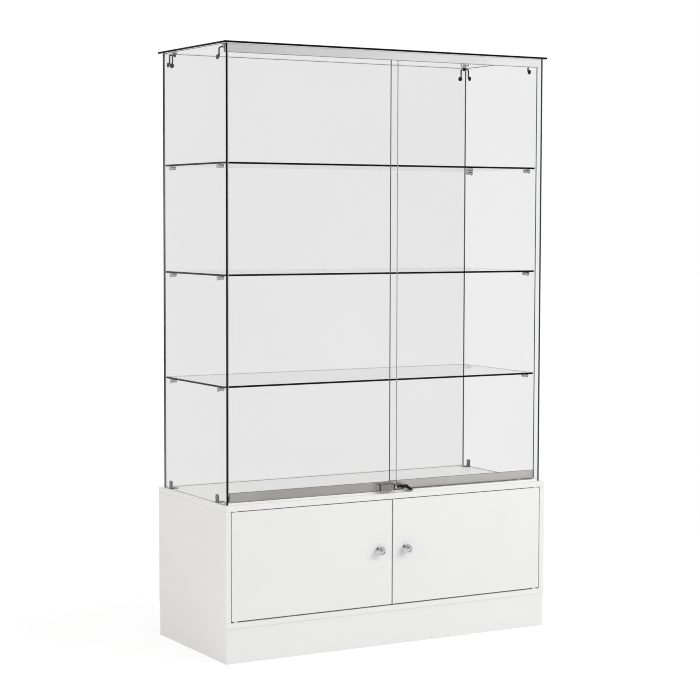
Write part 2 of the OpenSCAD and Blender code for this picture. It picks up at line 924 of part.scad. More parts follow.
module inner_roller_left() {
    color("ivory") roller(roller_xs(inner_door_x)[0], lane_y[1]);
}

module inner_roller_right() {
    color("ivory") roller(roller_xs(inner_door_x)[1], lane_y[1]);
}

// ---------- lock and key ----------

// A bar of the lock's section along X: flat on the shoe, its two front edges rounded
module lock_bar(x0, x1, grow) {
    translate([x0, 0, lock_z]) rotate([90, 0, 90]) linear_extrude(x1 - x0) {
        translate([lock_y0 + lock_round, -lock_h / 2 - grow])
            square([lock_d - lock_round, lock_h + 2 * grow]);
        translate([lock_y0 - grow, lock_round - lock_h / 2])
            square([lock_d + grow, lock_h - 2 * lock_round]);
        for (s = [-1, 1]) translate([lock_y0 + lock_round, s * (lock_h / 2 - lock_round)])
            circle(r = lock_round + grow);
    }
}

// The bore that the barrel turns in
module barrel_bore() {
    rod_x([barrel_x0, lock_y, lock_z], barrel_d + 2 * barrel_play, lock_w);
}

module lock_housing() {
    color("gray")
    difference() {
        lock_bar(lock_x0 + lock_cap, lock_x1 - lock_cap, 0);
        barrel_bore();
        block([yoke_x0 - room_gap, crank_y - yoke_half_y - room_gap, yoke_z0 - room_gap],
            [barrel_x0 + cut, crank_y + bolt_stroke + yoke_half_y + room_gap, yoke_z1 + room_gap]);
        rod_y([bolt_x, lock_y, crank_z], bolt_d + 2 * bolt_play, lock_d);
    }
}

module lock_end_caps() {
    color("black") {
        lock_bar(lock_x0, lock_x0 + lock_cap, cap_proud);
        difference() {
            lock_bar(lock_x1 - lock_cap, lock_x1, cap_proud);
            barrel_bore();
        }
    }
}

module lock_barrel() {
    color("silver")
    difference() {
        union() {
            rod_x([barrel_x0, lock_y, lock_z], barrel_d, lock_x1 + head_gap - barrel_x0);
            rod_x([lock_x1 + head_gap, lock_y, lock_z], barrel_head_d, barrel_head_l);
            rod_x([yoke_x0 + 0.6, crank_y, lock_z + crank_r * cos(45)], crank_d,
                barrel_x0 - yoke_x0);
        }
        block([barrel_x0 + 1.5, lock_y - blade_t / 2, lock_z - blade_h / 2],
            [head_x1 + 1, lock_y + blade_t / 2, lock_z + blade_h / 2]);
    }
}

module lock_bolt() {
    color("dimgray") {
        difference() {
            block([yoke_x0, crank_y - yoke_half_y, yoke_z0], [yoke_x1, crank_y + yoke_half_y, yoke_z1]);
            block([yoke_x0 - 1, crank_y - crank_d / 2 - slot_play, yoke_z0 + 1],
                [yoke_x1 + 1, crank_y + crank_d / 2 + slot_play, yoke_z1 - 1.2]);
        }
        rod_y([bolt_x, crank_y + yoke_half_y, crank_z], bolt_d, bolt_tip_y - crank_y - yoke_half_y);
    }
}

module key_blade() {
    color("dimgray")
    block([barrel_x0 + 1.7, lock_y - blade_t / 2, lock_z - blade_h / 2],
        [key_x0 + 3, lock_y + blade_t / 2, lock_z + blade_h / 2]);
}

// The fixed part of the key's head ends in two ears that hold the fold pin
module key_body() {
    slot_half_w = tongue_w / 2 + tongue_gap;
    color("black")
    difference() {
        union() {
            block([key_x0, lock_y - key_body_w / 2, lock_z - key_body_h / 2],
                [fold_x, lock_y + key_body_w / 2, lock_z + key_body_h / 2]);
            rod_y([fold_x, lock_y - key_body_w / 2, lock_z], key_body_h, key_body_w);
        }
        block([key_x0 - 1, lock_y - blade_t / 2, lock_z - blade_h / 2],
            [key_x0 + 3, lock_y + blade_t / 2, lock_z + blade_h / 2]);
        block([fold_x - key_body_h / 2, lock_y - slot_half_w, lock_z - key_body_h],
            [fold_x + key_body_h, lock_y + slot_half_w, lock_z + key_body_h]);
        rod_y([fold_x, lock_y - key_body_w, lock_z], fold_pin_d, 2 * key_body_w);
    }
}

module key_pin() {
    color("silver")
    rod_y([fold_x, lock_y - key_body_w / 2, lock_z], fold_pin_d, key_body_w);
}

// The folding grip, drawn straight with its pin at the origin
module grip_straight() {
    start = key_body_h / 2 + 0.8;
    difference() {
        union() {
            rod_y([0, -tongue_w / 2, 0], grip_t, tongue_w);
            block([0, -tongue_w / 2, -grip_t / 2], [start + 1, tongue_w / 2, grip_t / 2]);
            block([start, -grip_w / 2, -grip_t / 2], [grip_l - grip_t / 2, grip_w / 2, grip_t / 2]);
            rod_y([grip_l - grip_t / 2, -grip_w / 2, 0], grip_t, grip_w);
        }
        rod_y([0, -tongue_w, 0], fold_pin_d + 2 * fold_play, 2 * tongue_w);
    }
}

module key_grip() {
    color("black") translate([fold_x, lock_y, lock_z]) rotate([0, grip_droop, 0]) grip_straight();
}

plinth_front();
plinth_back();
plinth_sides();
plinth_bearers();
bottom_panel();
side_left();
side_right();
centre_partition();
deck();
cabinet_back();
carcass_dowels();
hinge_bushes();
magnetic_catches();
cupboard_door_left();
cupboard_door_right();
door_pins_left();
door_pins_right();
knob_left();
knob_right();
knob_screw_left();
knob_screw_right();
strike_plate_left();
strike_plate_right();
glass_side_left();
glass_side_right();
glass_back();
glass_top();
shelf_lower();
shelf_middle();
shelf_upper();
shelf_supports();
shelf_pads();
connectors_front();
connectors_rear();
foot_brackets();
bracket_screws();
top_track();
top_track_liners();
bottom_track();
track_screw_set();
outer_glass_door();
outer_shoe();
outer_shoe_caps();
outer_axles();
outer_roller_left();
outer_roller_right();
inner_glass_door();
inner_shoe();
inner_shoe_caps();
inner_axles();
inner_roller_left();
inner_roller_right();
lock_housing();
lock_end_caps();
lock_barrel();
lock_bolt();
key_blade();
key_body();
key_pin();
key_grip();
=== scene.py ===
import math

import bpy
from mathutils import Matrix, Vector


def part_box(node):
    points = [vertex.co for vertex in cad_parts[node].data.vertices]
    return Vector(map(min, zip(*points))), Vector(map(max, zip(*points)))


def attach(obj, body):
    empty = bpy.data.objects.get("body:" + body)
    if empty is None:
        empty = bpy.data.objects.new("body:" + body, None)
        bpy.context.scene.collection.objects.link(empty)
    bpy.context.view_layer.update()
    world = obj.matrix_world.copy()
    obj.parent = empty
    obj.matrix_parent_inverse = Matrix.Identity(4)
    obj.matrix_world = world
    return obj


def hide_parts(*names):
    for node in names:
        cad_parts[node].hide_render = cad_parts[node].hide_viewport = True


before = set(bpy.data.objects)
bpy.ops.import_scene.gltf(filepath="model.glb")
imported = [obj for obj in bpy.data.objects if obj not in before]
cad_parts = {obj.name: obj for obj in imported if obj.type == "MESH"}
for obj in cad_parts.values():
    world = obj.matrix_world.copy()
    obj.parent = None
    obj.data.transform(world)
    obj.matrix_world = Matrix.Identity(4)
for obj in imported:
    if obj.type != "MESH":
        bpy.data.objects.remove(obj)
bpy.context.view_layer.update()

# A glass showcase on a white storage base, dressed round its fixed frame.
# Lengths are in metres, the doors face -Y and the floor is z = 0.
# From the knobs on, the pieces' own tables are in millimetres.
mm = 0.001
thirtyDegrees = math.radians(30)


# Small tools

def putDown():
    if bpy.context.object and bpy.context.object.mode != 'OBJECT':
        bpy.ops.object.mode_set(mode='OBJECT')
    bpy.ops.object.select_all(action='DESELECT')


def takeUp(piece):  # the only selected object, and the active one
    putDown()
    piece.select_set(True)
    bpy.context.view_layer.objects.active = piece


def settle(piece):  # place, turn and size go into the mesh
    takeUp(piece)
    bpy.ops.object.transform_apply(location=True, rotation=True, scale=True)
    return piece


def nameLast(name):
    piece = bpy.context.active_object
    piece.name = name
    piece.data.name = name
    return piece


def addBlock(name, low, high):
    putDown()
    low = Vector(low)
    high = Vector(high)
    bpy.ops.mesh.primitive_cube_add(size=1, location=(low + high) / 2, scale=high - low)
    return settle(nameLast(name))


def editAll():
    bpy.ops.object.mode_set(mode='EDIT')
    bpy.ops.mesh.select_all(action='SELECT')


def leaveEdit():
    bpy.ops.object.mode_set(mode='OBJECT')


def clearPick(piece, kind):
    takeUp(piece)
    bpy.ops.object.mode_set(mode='EDIT')
    bpy.ops.mesh.select_mode(type=kind)
    bpy.ops.mesh.select_all(action='DESELECT')
    leaveEdit()


def pickFaces(piece, wanted):  # leaves the piece in edit mode with these faces selected
    clearPick(piece, 'FACE')
    for face in piece.data.polygons:
        face.select = wanted(face)
    bpy.ops.object.mode_set(mode='EDIT')


def pickEdges(piece, wanted):  # the same for edges: wanted gets the edge's two ends
    clearPick(piece, 'EDGE')
    points = piece.data.vertices
    for edge in piece.data.edges:
        edge.select = wanted(points[edge.vertices[0]].co, points[edge.vertices[1]].co)
    bpy.ops.object.mode_set(mode='EDIT')


def makeSound(piece):  # closed joints, faces outwards
    takeUp(piece)
    editAll()
    bpy.ops.mesh.remove_doubles(threshold=0.002 * mm)
    bpy.ops.mesh.normals_make_consistent(inside=False)
    leaveEdit()
    return piece


def roundOff(piece, width, segments=3, angle=thirtyDegrees):
    takeUp(piece)
    bpy.ops.object.shade_smooth()
    bpy.ops.object.modifier_add(type='BEVEL')
    bevel = piece.modifiers[-1]
    bevel.width = width
    bevel.segments = segments
    bevel.limit_method = 'ANGLE'
    bevel.angle_limit = angle
    bevel.harden_normals = True
    bpy.ops.object.modifier_apply(modifier=bevel.name)
    return piece


def bevelPicked(piece, width, segments):  # on the edges that are selected now
    bpy.ops.mesh.bevel(offset=width, segments=segments, affect='EDGES')
    makeSound(piece)


def smoothen(piece, angle=thirtyDegrees):
    takeUp(piece)
    bpy.ops.object.shade_smooth_by_angle(angle=angle)
    return piece


def turnOnLathe(name, profile, sides=48):  # (radius, height) along +Z in mm, both ends closed
    putDown()
    rings = [(radius * mm, height * mm) for radius, height in profile]
    firstRadius, firstHeight = rings[0]
    bpy.ops.mesh.primitive_circle_add(
        vertices=sides, radius=firstRadius, fill_type='NGON', location=(0, 0, firstHeight))
    piece = settle(nameLast(name))
    bpy.ops.object.mode_set(mode='EDIT')
    bpy.ops.mesh.select_mode(type='FACE')
    bpy.ops.mesh.select_all(action='SELECT')
    for (radius, height), (nextRadius, nextHeight) in zip(rings, rings[1:]):
        grow = nextRadius / radius
        bpy.ops.mesh.extrude_region_move(
            TRANSFORM_OT_translate={"value": (0, 0, nextHeight - height)})
        bpy.ops.transform.resize(value=(grow, grow, 1), center_override=(0, 0, nextHeight))
    leaveEdit()
    return makeSound(piece)


def aim(piece, centre, axis):  # a turned piece stands at centre with its +Z along axis
    swing = Vector((0, 0, 1)).rotation_difference(Vector(axis))
    piece.matrix_world = Matrix.Translation(centre) @ swing.to_matrix().to_4x4()
    return settle(piece)


def copyOf(piece, name, shift=(0, 0, 0), turn=0.0):  # turned about Z at the origin, then moved
    takeUp(piece)
    bpy.ops.object.duplicate(linked=False)
    twin = nameLast(name)
    twin.matrix_world = Matrix.Translation(shift) @ Matrix.Rotation(turn, 4, 'Z')
    return settle(twin)


def mirroredCopy(piece, name):  # the other hand, across x = 0
    takeUp(piece)
    bpy.ops.object.duplicate(linked=False)
    twin = nameLast(name)
    twin.scale.x = -1
    settle(twin)
    return makeSound(twin)


def joinUp(main, others):
    putDown()
    for part in others:
        part.select_set(True)
    main.select_set(True)
    bpy.context.view_layer.objects.active = main
    bpy.ops.object.join()
    return main


def bendRod(name, start, axis, radius, moves, sides=20):
    # a round rod: each move is a vector to run along, or (centre, axis, degrees) to bend round
    putDown()
    swing = Vector((0, 0, 1)).rotation_difference(Vector(axis))
    bpy.ops.mesh.primitive_circle_add(
        vertices=sides, radius=radius, fill_type='NOTHING', location=start,
        rotation=swing.to_euler())
    rod = settle(nameLast(name))
    bpy.ops.object.mode_set(mode='EDIT')
    bpy.ops.mesh.select_mode(type='VERT')
    bpy.ops.mesh.select_all(action='SELECT')
    for move in moves:
        if isinstance(move[0], (int, float)):
            bpy.ops.mesh.extrude_region_move(TRANSFORM_OT_translate={"value": move})
        else:
            centre, spinAxis, degrees = move
            bpy.ops.mesh.spin(  # its angle counts the other way round the axis
                steps=8, angle=-math.radians(degrees), center=centre, axis=spinAxis)
    bpy.ops.mesh.select_all(action='SELECT')
    bpy.ops.mesh.fill_holes(sides=0)
    leaveEdit()
    return makeSound(rod)


def hand(piece, body, nodes, materials):  # the finished piece goes onto the frame
    for material in materials:
        piece.data.materials.append(material)
    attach(piece, body)
    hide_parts(*nodes)
    return piece


# Shared finishes

def addNode(tree, kind, **settings):
    node = tree.nodes.new(kind)
    for key, value in settings.items():
        setattr(node, key, value)
    return node


def startGroup(name, inputs, outputs):
    group = bpy.data.node_groups.new(name, 'ShaderNodeTree')
    for label, kind, value in inputs:
        socket = group.interface.new_socket(name=label, in_out='INPUT', socket_type=kind)
        if value is not None:
            socket.default_value = value
    for label, kind in outputs:
        group.interface.new_socket(name=label, in_out='OUTPUT', socket_type=kind)
    return group, addNode(group, 'NodeGroupInput'), addNode(group, 'NodeGroupOutput')


def makeToneDrift():  # slow, soft change between two colours
    group, start, end = startGroup(
        "toneDrift",
        [("Place", 'NodeSocketVector', None), ("Scale", 'NodeSocketFloat', 3.0),
         ("Light", 'NodeSocketColor', (0.8, 0.8, 0.8, 1)),
         ("Dark", 'NodeSocketColor', (0.7, 0.7, 0.7, 1))],
        [("Colour", 'NodeSocketColor'), ("Mask", 'NodeSocketFloat')])
    noise = addNode(group, 'ShaderNodeTexNoise')
    noise.inputs['Detail'].default_value = 3
    noise.inputs['Roughness'].default_value = 0.55
    spread = addNode(group, 'ShaderNodeMapRange', interpolation_type='SMOOTHSTEP')
    spread.inputs['From Min'].default_value = 0.32
    spread.inputs['From Max'].default_value = 0.68
    blend = addNode(group, 'ShaderNodeMix', data_type='RGBA')
    link = group.links.new
    link(start.outputs['Place'], noise.inputs['Vector'])
    link(start.outputs['Scale'], noise.inputs['Scale'])
    link(noise.outputs['Fac'], spread.inputs['Value'])
    link(spread.outputs['Result'], blend.inputs['Factor'])
    link(start.outputs['Light'], blend.inputs['A'])
    link(start.outputs['Dark'], blend.inputs['B'])
    link(blend.outputs['Result'], end.inputs['Colour'])
    link(spread.outputs['Result'], end.inputs['Mask'])
    return group


def makeFineGrain():  # streaks or pebbles, by how the place is stretched
    group, start, end = startGroup(
        "fineGrain",
        [("Place", 'NodeSocketVector', None), ("Stretch", 'NodeSocketVector', (400, 400, 400)),
         ("Low", 'NodeSocketFloat', 0.0), ("High", 'NodeSocketFloat', 1.0)],
        [("Value", 'NodeSocketFloat'), ("Height", 'NodeSocketFloat')])
    scale = addNode(group, 'ShaderNodeVectorMath', operation='MULTIPLY')
    noise = addNode(group, 'ShaderNodeTexNoise')
    noise.inputs['Scale'].default_value = 1
    noise.inputs['Detail'].default_value = 4
    spread = addNode(group, 'ShaderNodeMapRange')
    spread.inputs['From Min'].default_value = 0.3
    spread.inputs['From Max'].default_value = 0.7
    link = group.links.new
    link(start.outputs['Place'], scale.inputs[0])
    link(start.outputs['Stretch'], scale.inputs[1])
    link(scale.outputs['Vector'], noise.inputs['Vector'])
    link(noise.outputs['Fac'], spread.inputs['Value'])
    link(start.outputs['Low'], spread.inputs['To Min'])
    link(start.outputs['High'], spread.inputs['To Max'])
    link(spread.outputs['Result'], end.inputs['Value'])
    link(noise.outputs['Fac'], end.inputs['Height'])
    return group


def makeHandling():  # a few soft finger and cloth marks: mostly 0, rising to 1 in patches
    group, start, end = startGroup(
        "handling",
        [("Place", 'NodeSocketVector', None), ("Scale", 'NodeSocketFloat', 5.0),
         ("Sparse", 'NodeSocketFloat', 0.56)],
        [("Mask", 'NodeSocketFloat')])
    patches = addNode(group, 'ShaderNodeTexNoise')
    patches.inputs['Detail'].default_value = 5
    patches.inputs['Distortion'].default_value = 0.6
    spread = addNode(group, 'ShaderNodeMapRange', interpolation_type='SMOOTHSTEP')
    spread.inputs['From Max'].default_value = 0.8
    link = group.links.new
    link(start.outputs['Place'], patches.inputs['Vector'])
    link(start.outputs['Scale'], patches.inputs['Scale'])
    link(patches.outputs['Fac'], spread.inputs['Value'])
    link(start.outputs['Sparse'], spread.inputs['From Min'])
    link(spread.outputs['Result'], end.inputs['Mask'])
    return group


toneDrift = makeToneDrift()
fineGrain = makeFineGrain()
handling = makeHandling()


def startMaterial(name, **plain):  # plain values go on the shader's own sockets
    material = bpy.data.materials.new(name)
    material.use_nodes = True
    tree = material.node_tree
    shader = tree.nodes['Principled BSDF']
    for key, value in plain.items():
        shader.inputs[key.replace('_', ' ')].default_value = value
    place = addNode(tree, 'ShaderNodeTexCoord').outputs['Object']
    return material, tree, shader, place


def addEffect(tree, group, place, **values):
    node = addNode(tree, 'ShaderNodeGroup', node_tree=group)
    tree.links.new(place, node.inputs['Place'])
    for key, value in values.items():
        node.inputs[key].default_value = value
    return node


def addBump(tree, shader, height, strength, distance):
    bump = addNode(tree, 'ShaderNodeBump')
    bump.inputs['Strength'].default_value = strength
    bump.inputs['Distance'].default_value = distance
    tree.links.new(height, bump.inputs['Height'])
    tree.links.new(bump.outputs['Normal'], shader.inputs['Normal'])
    return bump


def makeFinish(name, light, dark, drift, rough, stretch, bump, **plain):
    # one surface: two tones, a grain that moves the roughness, and a fine relief
    material, tree, shader, place = startMaterial(name, **plain)
    tone = addEffect(tree, toneDrift, place, Scale=drift, Light=(*light, 1), Dark=(*dark, 1))
    grain = addEffect(
        tree, fineGrain, place, Stretch=stretch, Low=rough[0], High=rough[1])
    tree.links.new(tone.outputs['Colour'], shader.inputs['Base Color'])
    tree.links.new(grain.outputs['Value'], shader.inputs['Roughness'])
    addBump(tree, shader, grain.outputs['Height'], bump[0], bump[1])
    return material


boardLook = {
    "face": (0.795, 0.797, 0.796),
    "faceShade": (0.782, 0.782, 0.779),
    "band": (0.8, 0.802, 0.8),
    "bandShade": (0.786, 0.787, 0.784),
    # painted shade for the doors' edges at the gaps
    "gapPaintedShade": (0.68, 0.677, 0.667),
    "gapPaintedShadeDark": (0.64, 0.636, 0.627),
    "pearl": (900, 900, 900),
}
whiteBoard = makeFinish(
    "whiteBoard", boardLook["face"], boardLook["faceShade"], 2.2, (0.36, 0.46),
    boardLook["pearl"], (0.12, 0.05 * mm))
paintedShadeEdging = makeFinish(  # painted shade: darker edging where two edges face each other across a gap
    "paintedShadeEdging", boardLook["gapPaintedShade"], boardLook["gapPaintedShadeDark"], 6.0, (0.3, 0.42),
    (700, 700, 700), (0.1, 0.04 * mm))
whiteEdging = makeFinish(
    "whiteEdging", boardLook["band"], boardLook["bandShade"], 6.0, (0.3, 0.42),
    (700, 700, 700), (0.1, 0.04 * mm))
trackSilver = makeFinish(
    "trackSilver", (0.84, 0.84, 0.835), (0.78, 0.78, 0.775), 4.0, (0.16, 0.26),
    (6, 2600, 2600), (0.1, 0.02 * mm), Metallic=1.0)
trackWeb = makeFinish(  # the duller back of the top track, seen from above through the glass
    "trackWeb", (0.62, 0.62, 0.615), (0.56, 0.56, 0.555), 4.0, (0.4, 0.55),
    (6, 2600, 2600), (0.1, 0.02 * mm), Metallic=0.2)
shoeMetal = makeFinish(
    "shoeMetal", (0.42, 0.41, 0.40), (0.38, 0.37, 0.355), 5.0, (0.3, 0.46),
    (8, 2200, 2200), (0.12, 0.02 * mm), Metallic=1.0)
# painted light: a lighter copy of shoeMetal for the inner shoe, which stands more in the light
shoePaintedLight = makeFinish(
    "shoePaintedLight", (0.54, 0.53, 0.52), (0.48, 0.47, 0.455), 5.0, (0.3, 0.46),
    (8, 2200, 2200), (0.12, 0.02 * mm), Metallic=1.0)
chrome = makeFinish(
    "chrome", (0.66, 0.66, 0.67), (0.6, 0.6, 0.61), 30.0, (0.04, 0.09),
    (500, 500, 500), (0.02, 0.01 * mm), Metallic=1.0)
darkChrome = makeFinish(  # the small fittings in the case
    "darkChrome", (0.06, 0.06, 0.061), (0.04, 0.04, 0.041), 60.0, (0.08, 0.16),
    (700, 700, 700), (0.04, 0.01 * mm), Metallic=0.9, Specular_IOR_Level=0.2)
bracketSteel = makeFinish(
    "bracketSteel", (0.2, 0.2, 0.203), (0.15, 0.15, 0.153), 60.0, (0.12, 0.24),
    (700, 700, 700), (0.04, 0.01 * mm), Metallic=1.0)
satinChrome = makeFinish(
    "satinChrome", (0.42, 0.42, 0.425), (0.36, 0.36, 0.365), 60.0, (0.1, 0.2),
    (700, 700, 700), (0.04, 0.01 * mm), Metallic=1.0)
zincSteel = makeFinish(
    "zincSteel", (0.62, 0.63, 0.64), (0.5, 0.51, 0.53), 90.0, (0.25, 0.42),
    (1200, 1200, 1200), (0.15, 0.02 * mm), Metallic=1.0)
lockPaint = makeFinish(
    "lockPaint", (0.27, 0.26, 0.25), (0.225, 0.215, 0.207), 60.0, (0.34, 0.5),
    (1500, 1500, 1500), (0.25, 0.03 * mm), Metallic=0.6)
blackPlastic = makeFinish(
    "blackPlastic", (0.007, 0.007, 0.0075), (0.004, 0.004, 0.0045), 80.0, (0.34, 0.5),
    (1800, 1800, 1800), (0.3, 0.03 * mm), Specular_IOR_Level=0.22)
keyMetal = makeFinish(
    "keyMetal", (0.02, 0.02, 0.019), (0.012, 0.012, 0.0115), 60.0, (0.3, 0.45),
    (1200, 1200, 1200), (0.15, 0.02 * mm), Metallic=0.4, Specular_IOR_Level=0.25)
whiteNylon = makeFinish(
    "whiteNylon", (0.83, 0.82, 0.78), (0.78, 0.765, 0.72), 60.0, (0.35, 0.5),
    (900, 900, 900), (0.15, 0.03 * mm), Subsurface_Weight=0.1)
clearPad = makeFinish(
    "clearPad", (0.8, 0.82, 0.82), (0.74, 0.77, 0.77), 90.0, (0.2, 0.35),
    (800, 800, 800), (0.1, 0.02 * mm))
rawWood = makeFinish(
    "rawWood", (0.72, 0.53, 0.33), (0.6, 0.41, 0.23), 90.0, (0.55, 0.75),
    (900, 900, 60), (0.3, 0.08 * mm))
linerGrey = makeFinish(
    "linerGrey", (0.3, 0.3, 0.3), (0.25, 0.25, 0.25), 40.0, (0.4, 0.55),
    (60, 1500, 1500), (0.15, 0.03 * mm))

trackLook = {
    "paintedShadow": (0.05, 0.048, 0.046),  # painted shadow on top, under the shoes
    "paintedShadowFrom": 1.2 * mm,  # below the track's top
    "paintedShadowFull": 0.2 * mm,
}


def makeTrackPale():  # pale in front, with painted shadow on top under the doors' shoes
    material = makeFinish(
        "trackPale", (0.88, 0.88, 0.876), (0.85, 0.85, 0.846), 4.0, (0.34, 0.5),
        (6, 2600, 2600), (0.1, 0.02 * mm), Metallic=0.1)
    tree = material.node_tree
    base = tree.nodes['Principled BSDF'].inputs['Base Color']
    plain = base.links[0].from_socket
    parts = addNode(tree, 'ShaderNodeSeparateXYZ')
    # painted shadow: darker from just below the track's top upwards
    level = addNode(tree, 'ShaderNodeMapRange', interpolation_type='SMOOTHSTEP')
    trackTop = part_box("bottom_track")[1].z
    level.inputs['From Min'].default_value = trackTop - trackLook["paintedShadowFrom"]
    level.inputs['From Max'].default_value = trackTop - trackLook["paintedShadowFull"]
    shade = addNode(tree, 'ShaderNodeMix', data_type='RGBA')
    shade.inputs['B'].default_value = (*trackLook["paintedShadow"], 1)
    tree.links.new(addNode(tree, 'ShaderNodeTexCoord').outputs['Object'], parts.inputs['Vector'])
    tree.links.new(parts.outputs['Z'], level.inputs['Value'])
    tree.links.new(level.outputs['Result'], shade.inputs['Factor'])
    tree.links.new(plain, shade.inputs['A'])
    tree.links.new(shade.outputs['Result'], base)
    return material


glassLook = {
    "door": 0.995,  # what each pane lets through, so that the bays are as grey as in the photo
    "left": 0.981,
    "shelf": 0.9,
    "right": 0.86,
    "back": 0.803,
    "bending": 1.1,  # low, because coated glass hardly mirrors
    "marks": 0.015,  # roughness where hands have been
    "passing": (0.98, 0.98, 0.98),  # lamp light and bounced light
}


def makeClearGlass(name, tint):
    material, tree, shader, place = startMaterial(
        name, Transmission_Weight=1.0, IOR=glassLook["bending"], Metallic=0.0)
    tone = addEffect(
        tree, toneDrift, place, Scale=1.5,
        Light=(tint, tint, tint * 0.999, 1), Dark=(tint * 0.992, tint * 0.993, tint * 0.992, 1))
    marks = addEffect(tree, handling, place, Scale=7.0, Sparse=0.64)
    faint = addNode(tree, 'ShaderNodeMath', operation='MULTIPLY')
    faint.inputs[1].default_value = glassLook["marks"]
    tree.links.new(tone.outputs['Colour'], shader.inputs['Base Color'])
    tree.links.new(marks.outputs['Mask'], faint.inputs[0])
    tree.links.new(faint.outputs['Value'], shader.inputs['Roughness'])
    # light and bounced light pass straight through, so what stands inside is lit as outside
    rays = addNode(tree, 'ShaderNodeLightPath')
    either = addNode(tree, 'ShaderNodeMath', operation='MAXIMUM')
    through = addNode(tree, 'ShaderNodeBsdfTransparent')
    through.inputs['Color'].default_value = (*glassLook["passing"], 1)
    both = addNode(tree, 'ShaderNodeMixShader')
    tree.links.new(rays.outputs['Is Shadow Ray'], either.inputs[0])
    tree.links.new(rays.outputs['Is Diffuse Ray'], either.inputs[1])
    tree.links.new(either.outputs['Value'], both.inputs['Fac'])
    tree.links.new(shader.outputs['BSDF'], both.inputs[1])
    tree.links.new(through.outputs['BSDF'], both.inputs[2])
    tree.links.new(both.outputs['Shader'], tree.nodes['Material Output'].inputs['Surface'])
    return material


def makePaintedShadeEdge(name, light, dark):  # painted shade: glass seen along its own depth, as an opaque colour, darker or paler pane by pane
    return makeFinish(
        name, light, dark, 12.0, (0.3, 0.5), (30, 30, 30), (0.05, 0.03 * mm),
        Specular_IOR_Level=0.03)


doorGlass = makeClearGlass("doorGlass", glassLook["door"])
leftGlass = makeClearGlass("leftGlass", glassLook["left"])
shelfGlass = makeClearGlass("shelfGlass", glassLook["shelf"])
rightGlass = makeClearGlass("rightGlass", glassLook["right"])
backGlass = makeClearGlass("backGlass", glassLook["back"])
# the edge tones are painted shade, set for how dark each pane's edge looks
paintedShadeBlackEdge = makePaintedShadeEdge("paintedShadeBlackEdge", (0.0045, 0.006, 0.0058), (0.0025, 0.0035, 0.0034))
paintedShadeSmokeEdge = makePaintedShadeEdge("paintedShadeSmokeEdge", (0.03, 0.042, 0.041), (0.02, 0.029, 0.028))
paintedShadeGreyEdge = makePaintedShadeEdge("paintedShadeGreyEdge", (0.12, 0.14, 0.138), (0.09, 0.108, 0.106))
paintedShadePaleEdge = makePaintedShadeEdge("paintedShadePaleEdge", (0.42, 0.46, 0.45), (0.36, 0.4, 0.39))
print("finishes made")


# White boards

boardShape = {
    "bandWidth": 1.0 * mm,  # the edging that shows round each big face
    "roundOff": 0.9 * mm,
    "segments": 3,
    "meeting": 4 * mm,  # nearer the middle than this, a door's edge faces the other door's and gets painted shade
}


def thinAxis(low, high):
    size = high - low
    return min(range(3), key=lambda axis: size[axis])


def makeBoard(name, node, body, low, high):
    board = addBlock(name, low, high)
    axis = thinAxis(low, high)
    pickFaces(board, lambda face: abs(face.normal[axis]) > 0.9)
    bpy.ops.mesh.inset(thickness=boardShape["bandWidth"])
    leaveEdit()
    hand(board, body, [node], [whiteBoard, whiteEdging])
    for face in board.data.polygons:
        face.material_index = 0 if face.select else 1
    # the doors' meeting edges and undersides get painted shade, so the gaps read dark
    if node.startswith("cupboard_door"):
        board.data.materials.append(paintedShadeEdging)
        for face in board.data.polygons:
            if abs(face.center.x) < boardShape["meeting"] or face.normal.z < -0.9:
                face.material_index = 2
    roundOff(board, boardShape["roundOff"], boardShape["segments"])
    return board


for node, body in [
        ("plinth_front", "root"), ("plinth_back", "root"), ("bottom_panel", "root"),
        ("side_left", "root"), ("side_right", "root"), ("centre_partition", "root"),
        ("deck", "root"), ("cabinet_back", "root"),
        ("cupboard_door_left", "cupboard_left"), ("cupboard_door_right", "cupboard_right")]:
    lowEnd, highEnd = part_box(node)
    makeBoard("board_" + node, node, body, lowEnd, highEnd)

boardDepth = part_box("deck")[1].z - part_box("deck")[0].z
for node in ("plinth_sides", "plinth_bearers"):  # a pair of boards each
    lowEnd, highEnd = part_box(node)
    makeBoard("board_" + node + "_left", node, "root", lowEnd,
              Vector((lowEnd.x + boardDepth, highEnd.y, highEnd.z)))
    makeBoard("board_" + node + "_right", node, "root",
              Vector((highEnd.x - boardDepth, lowEnd.y, lowEnd.z)), highEnd)
print("boards made")


# Glass panes and shelves

glassShape = {
    "arris": 0.5 * mm,  # the ground corner along every edge
    "segments": 2,
}


def makePane(node, body, glass, edge):
    lowEnd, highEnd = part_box(node)
    pane = addBlock("pane_" + node, lowEnd, highEnd)
    roundOff(pane, glassShape["arris"], glassShape["segments"])
    hand(pane, body, [node], [glass, edge])
    axis = thinAxis(lowEnd, highEnd)
    for face in pane.data.polygons:
        face.material_index = 0 if abs(face.normal[axis]) > 0.999 else 1
    return pane


for node, body, glass, edge in [
        ("glass_side_left", "root", leftGlass, paintedShadeBlackEdge),
        ("glass_side_right", "root", rightGlass, paintedShadeSmokeEdge),
        ("glass_back", "root", backGlass, paintedShadeGreyEdge),
        ("glass_top", "root", shelfGlass, paintedShadeBlackEdge),
        ("shelf_lower", "root", shelfGlass, paintedShadeBlackEdge),
        ("shelf_middle", "root", shelfGlass, paintedShadeBlackEdge),
        ("shelf_upper", "root", shelfGlass, paintedShadeBlackEdge),
        ("outer_glass_door", "outer_door", doorGlass, paintedShadePaleEdge),
        ("inner_glass_door", "inner_door", doorGlass, paintedShadeGreyEdge)]:
    makePane(node, body, glass, edge)
print("panes made")


# Knobs of the cupboard doors

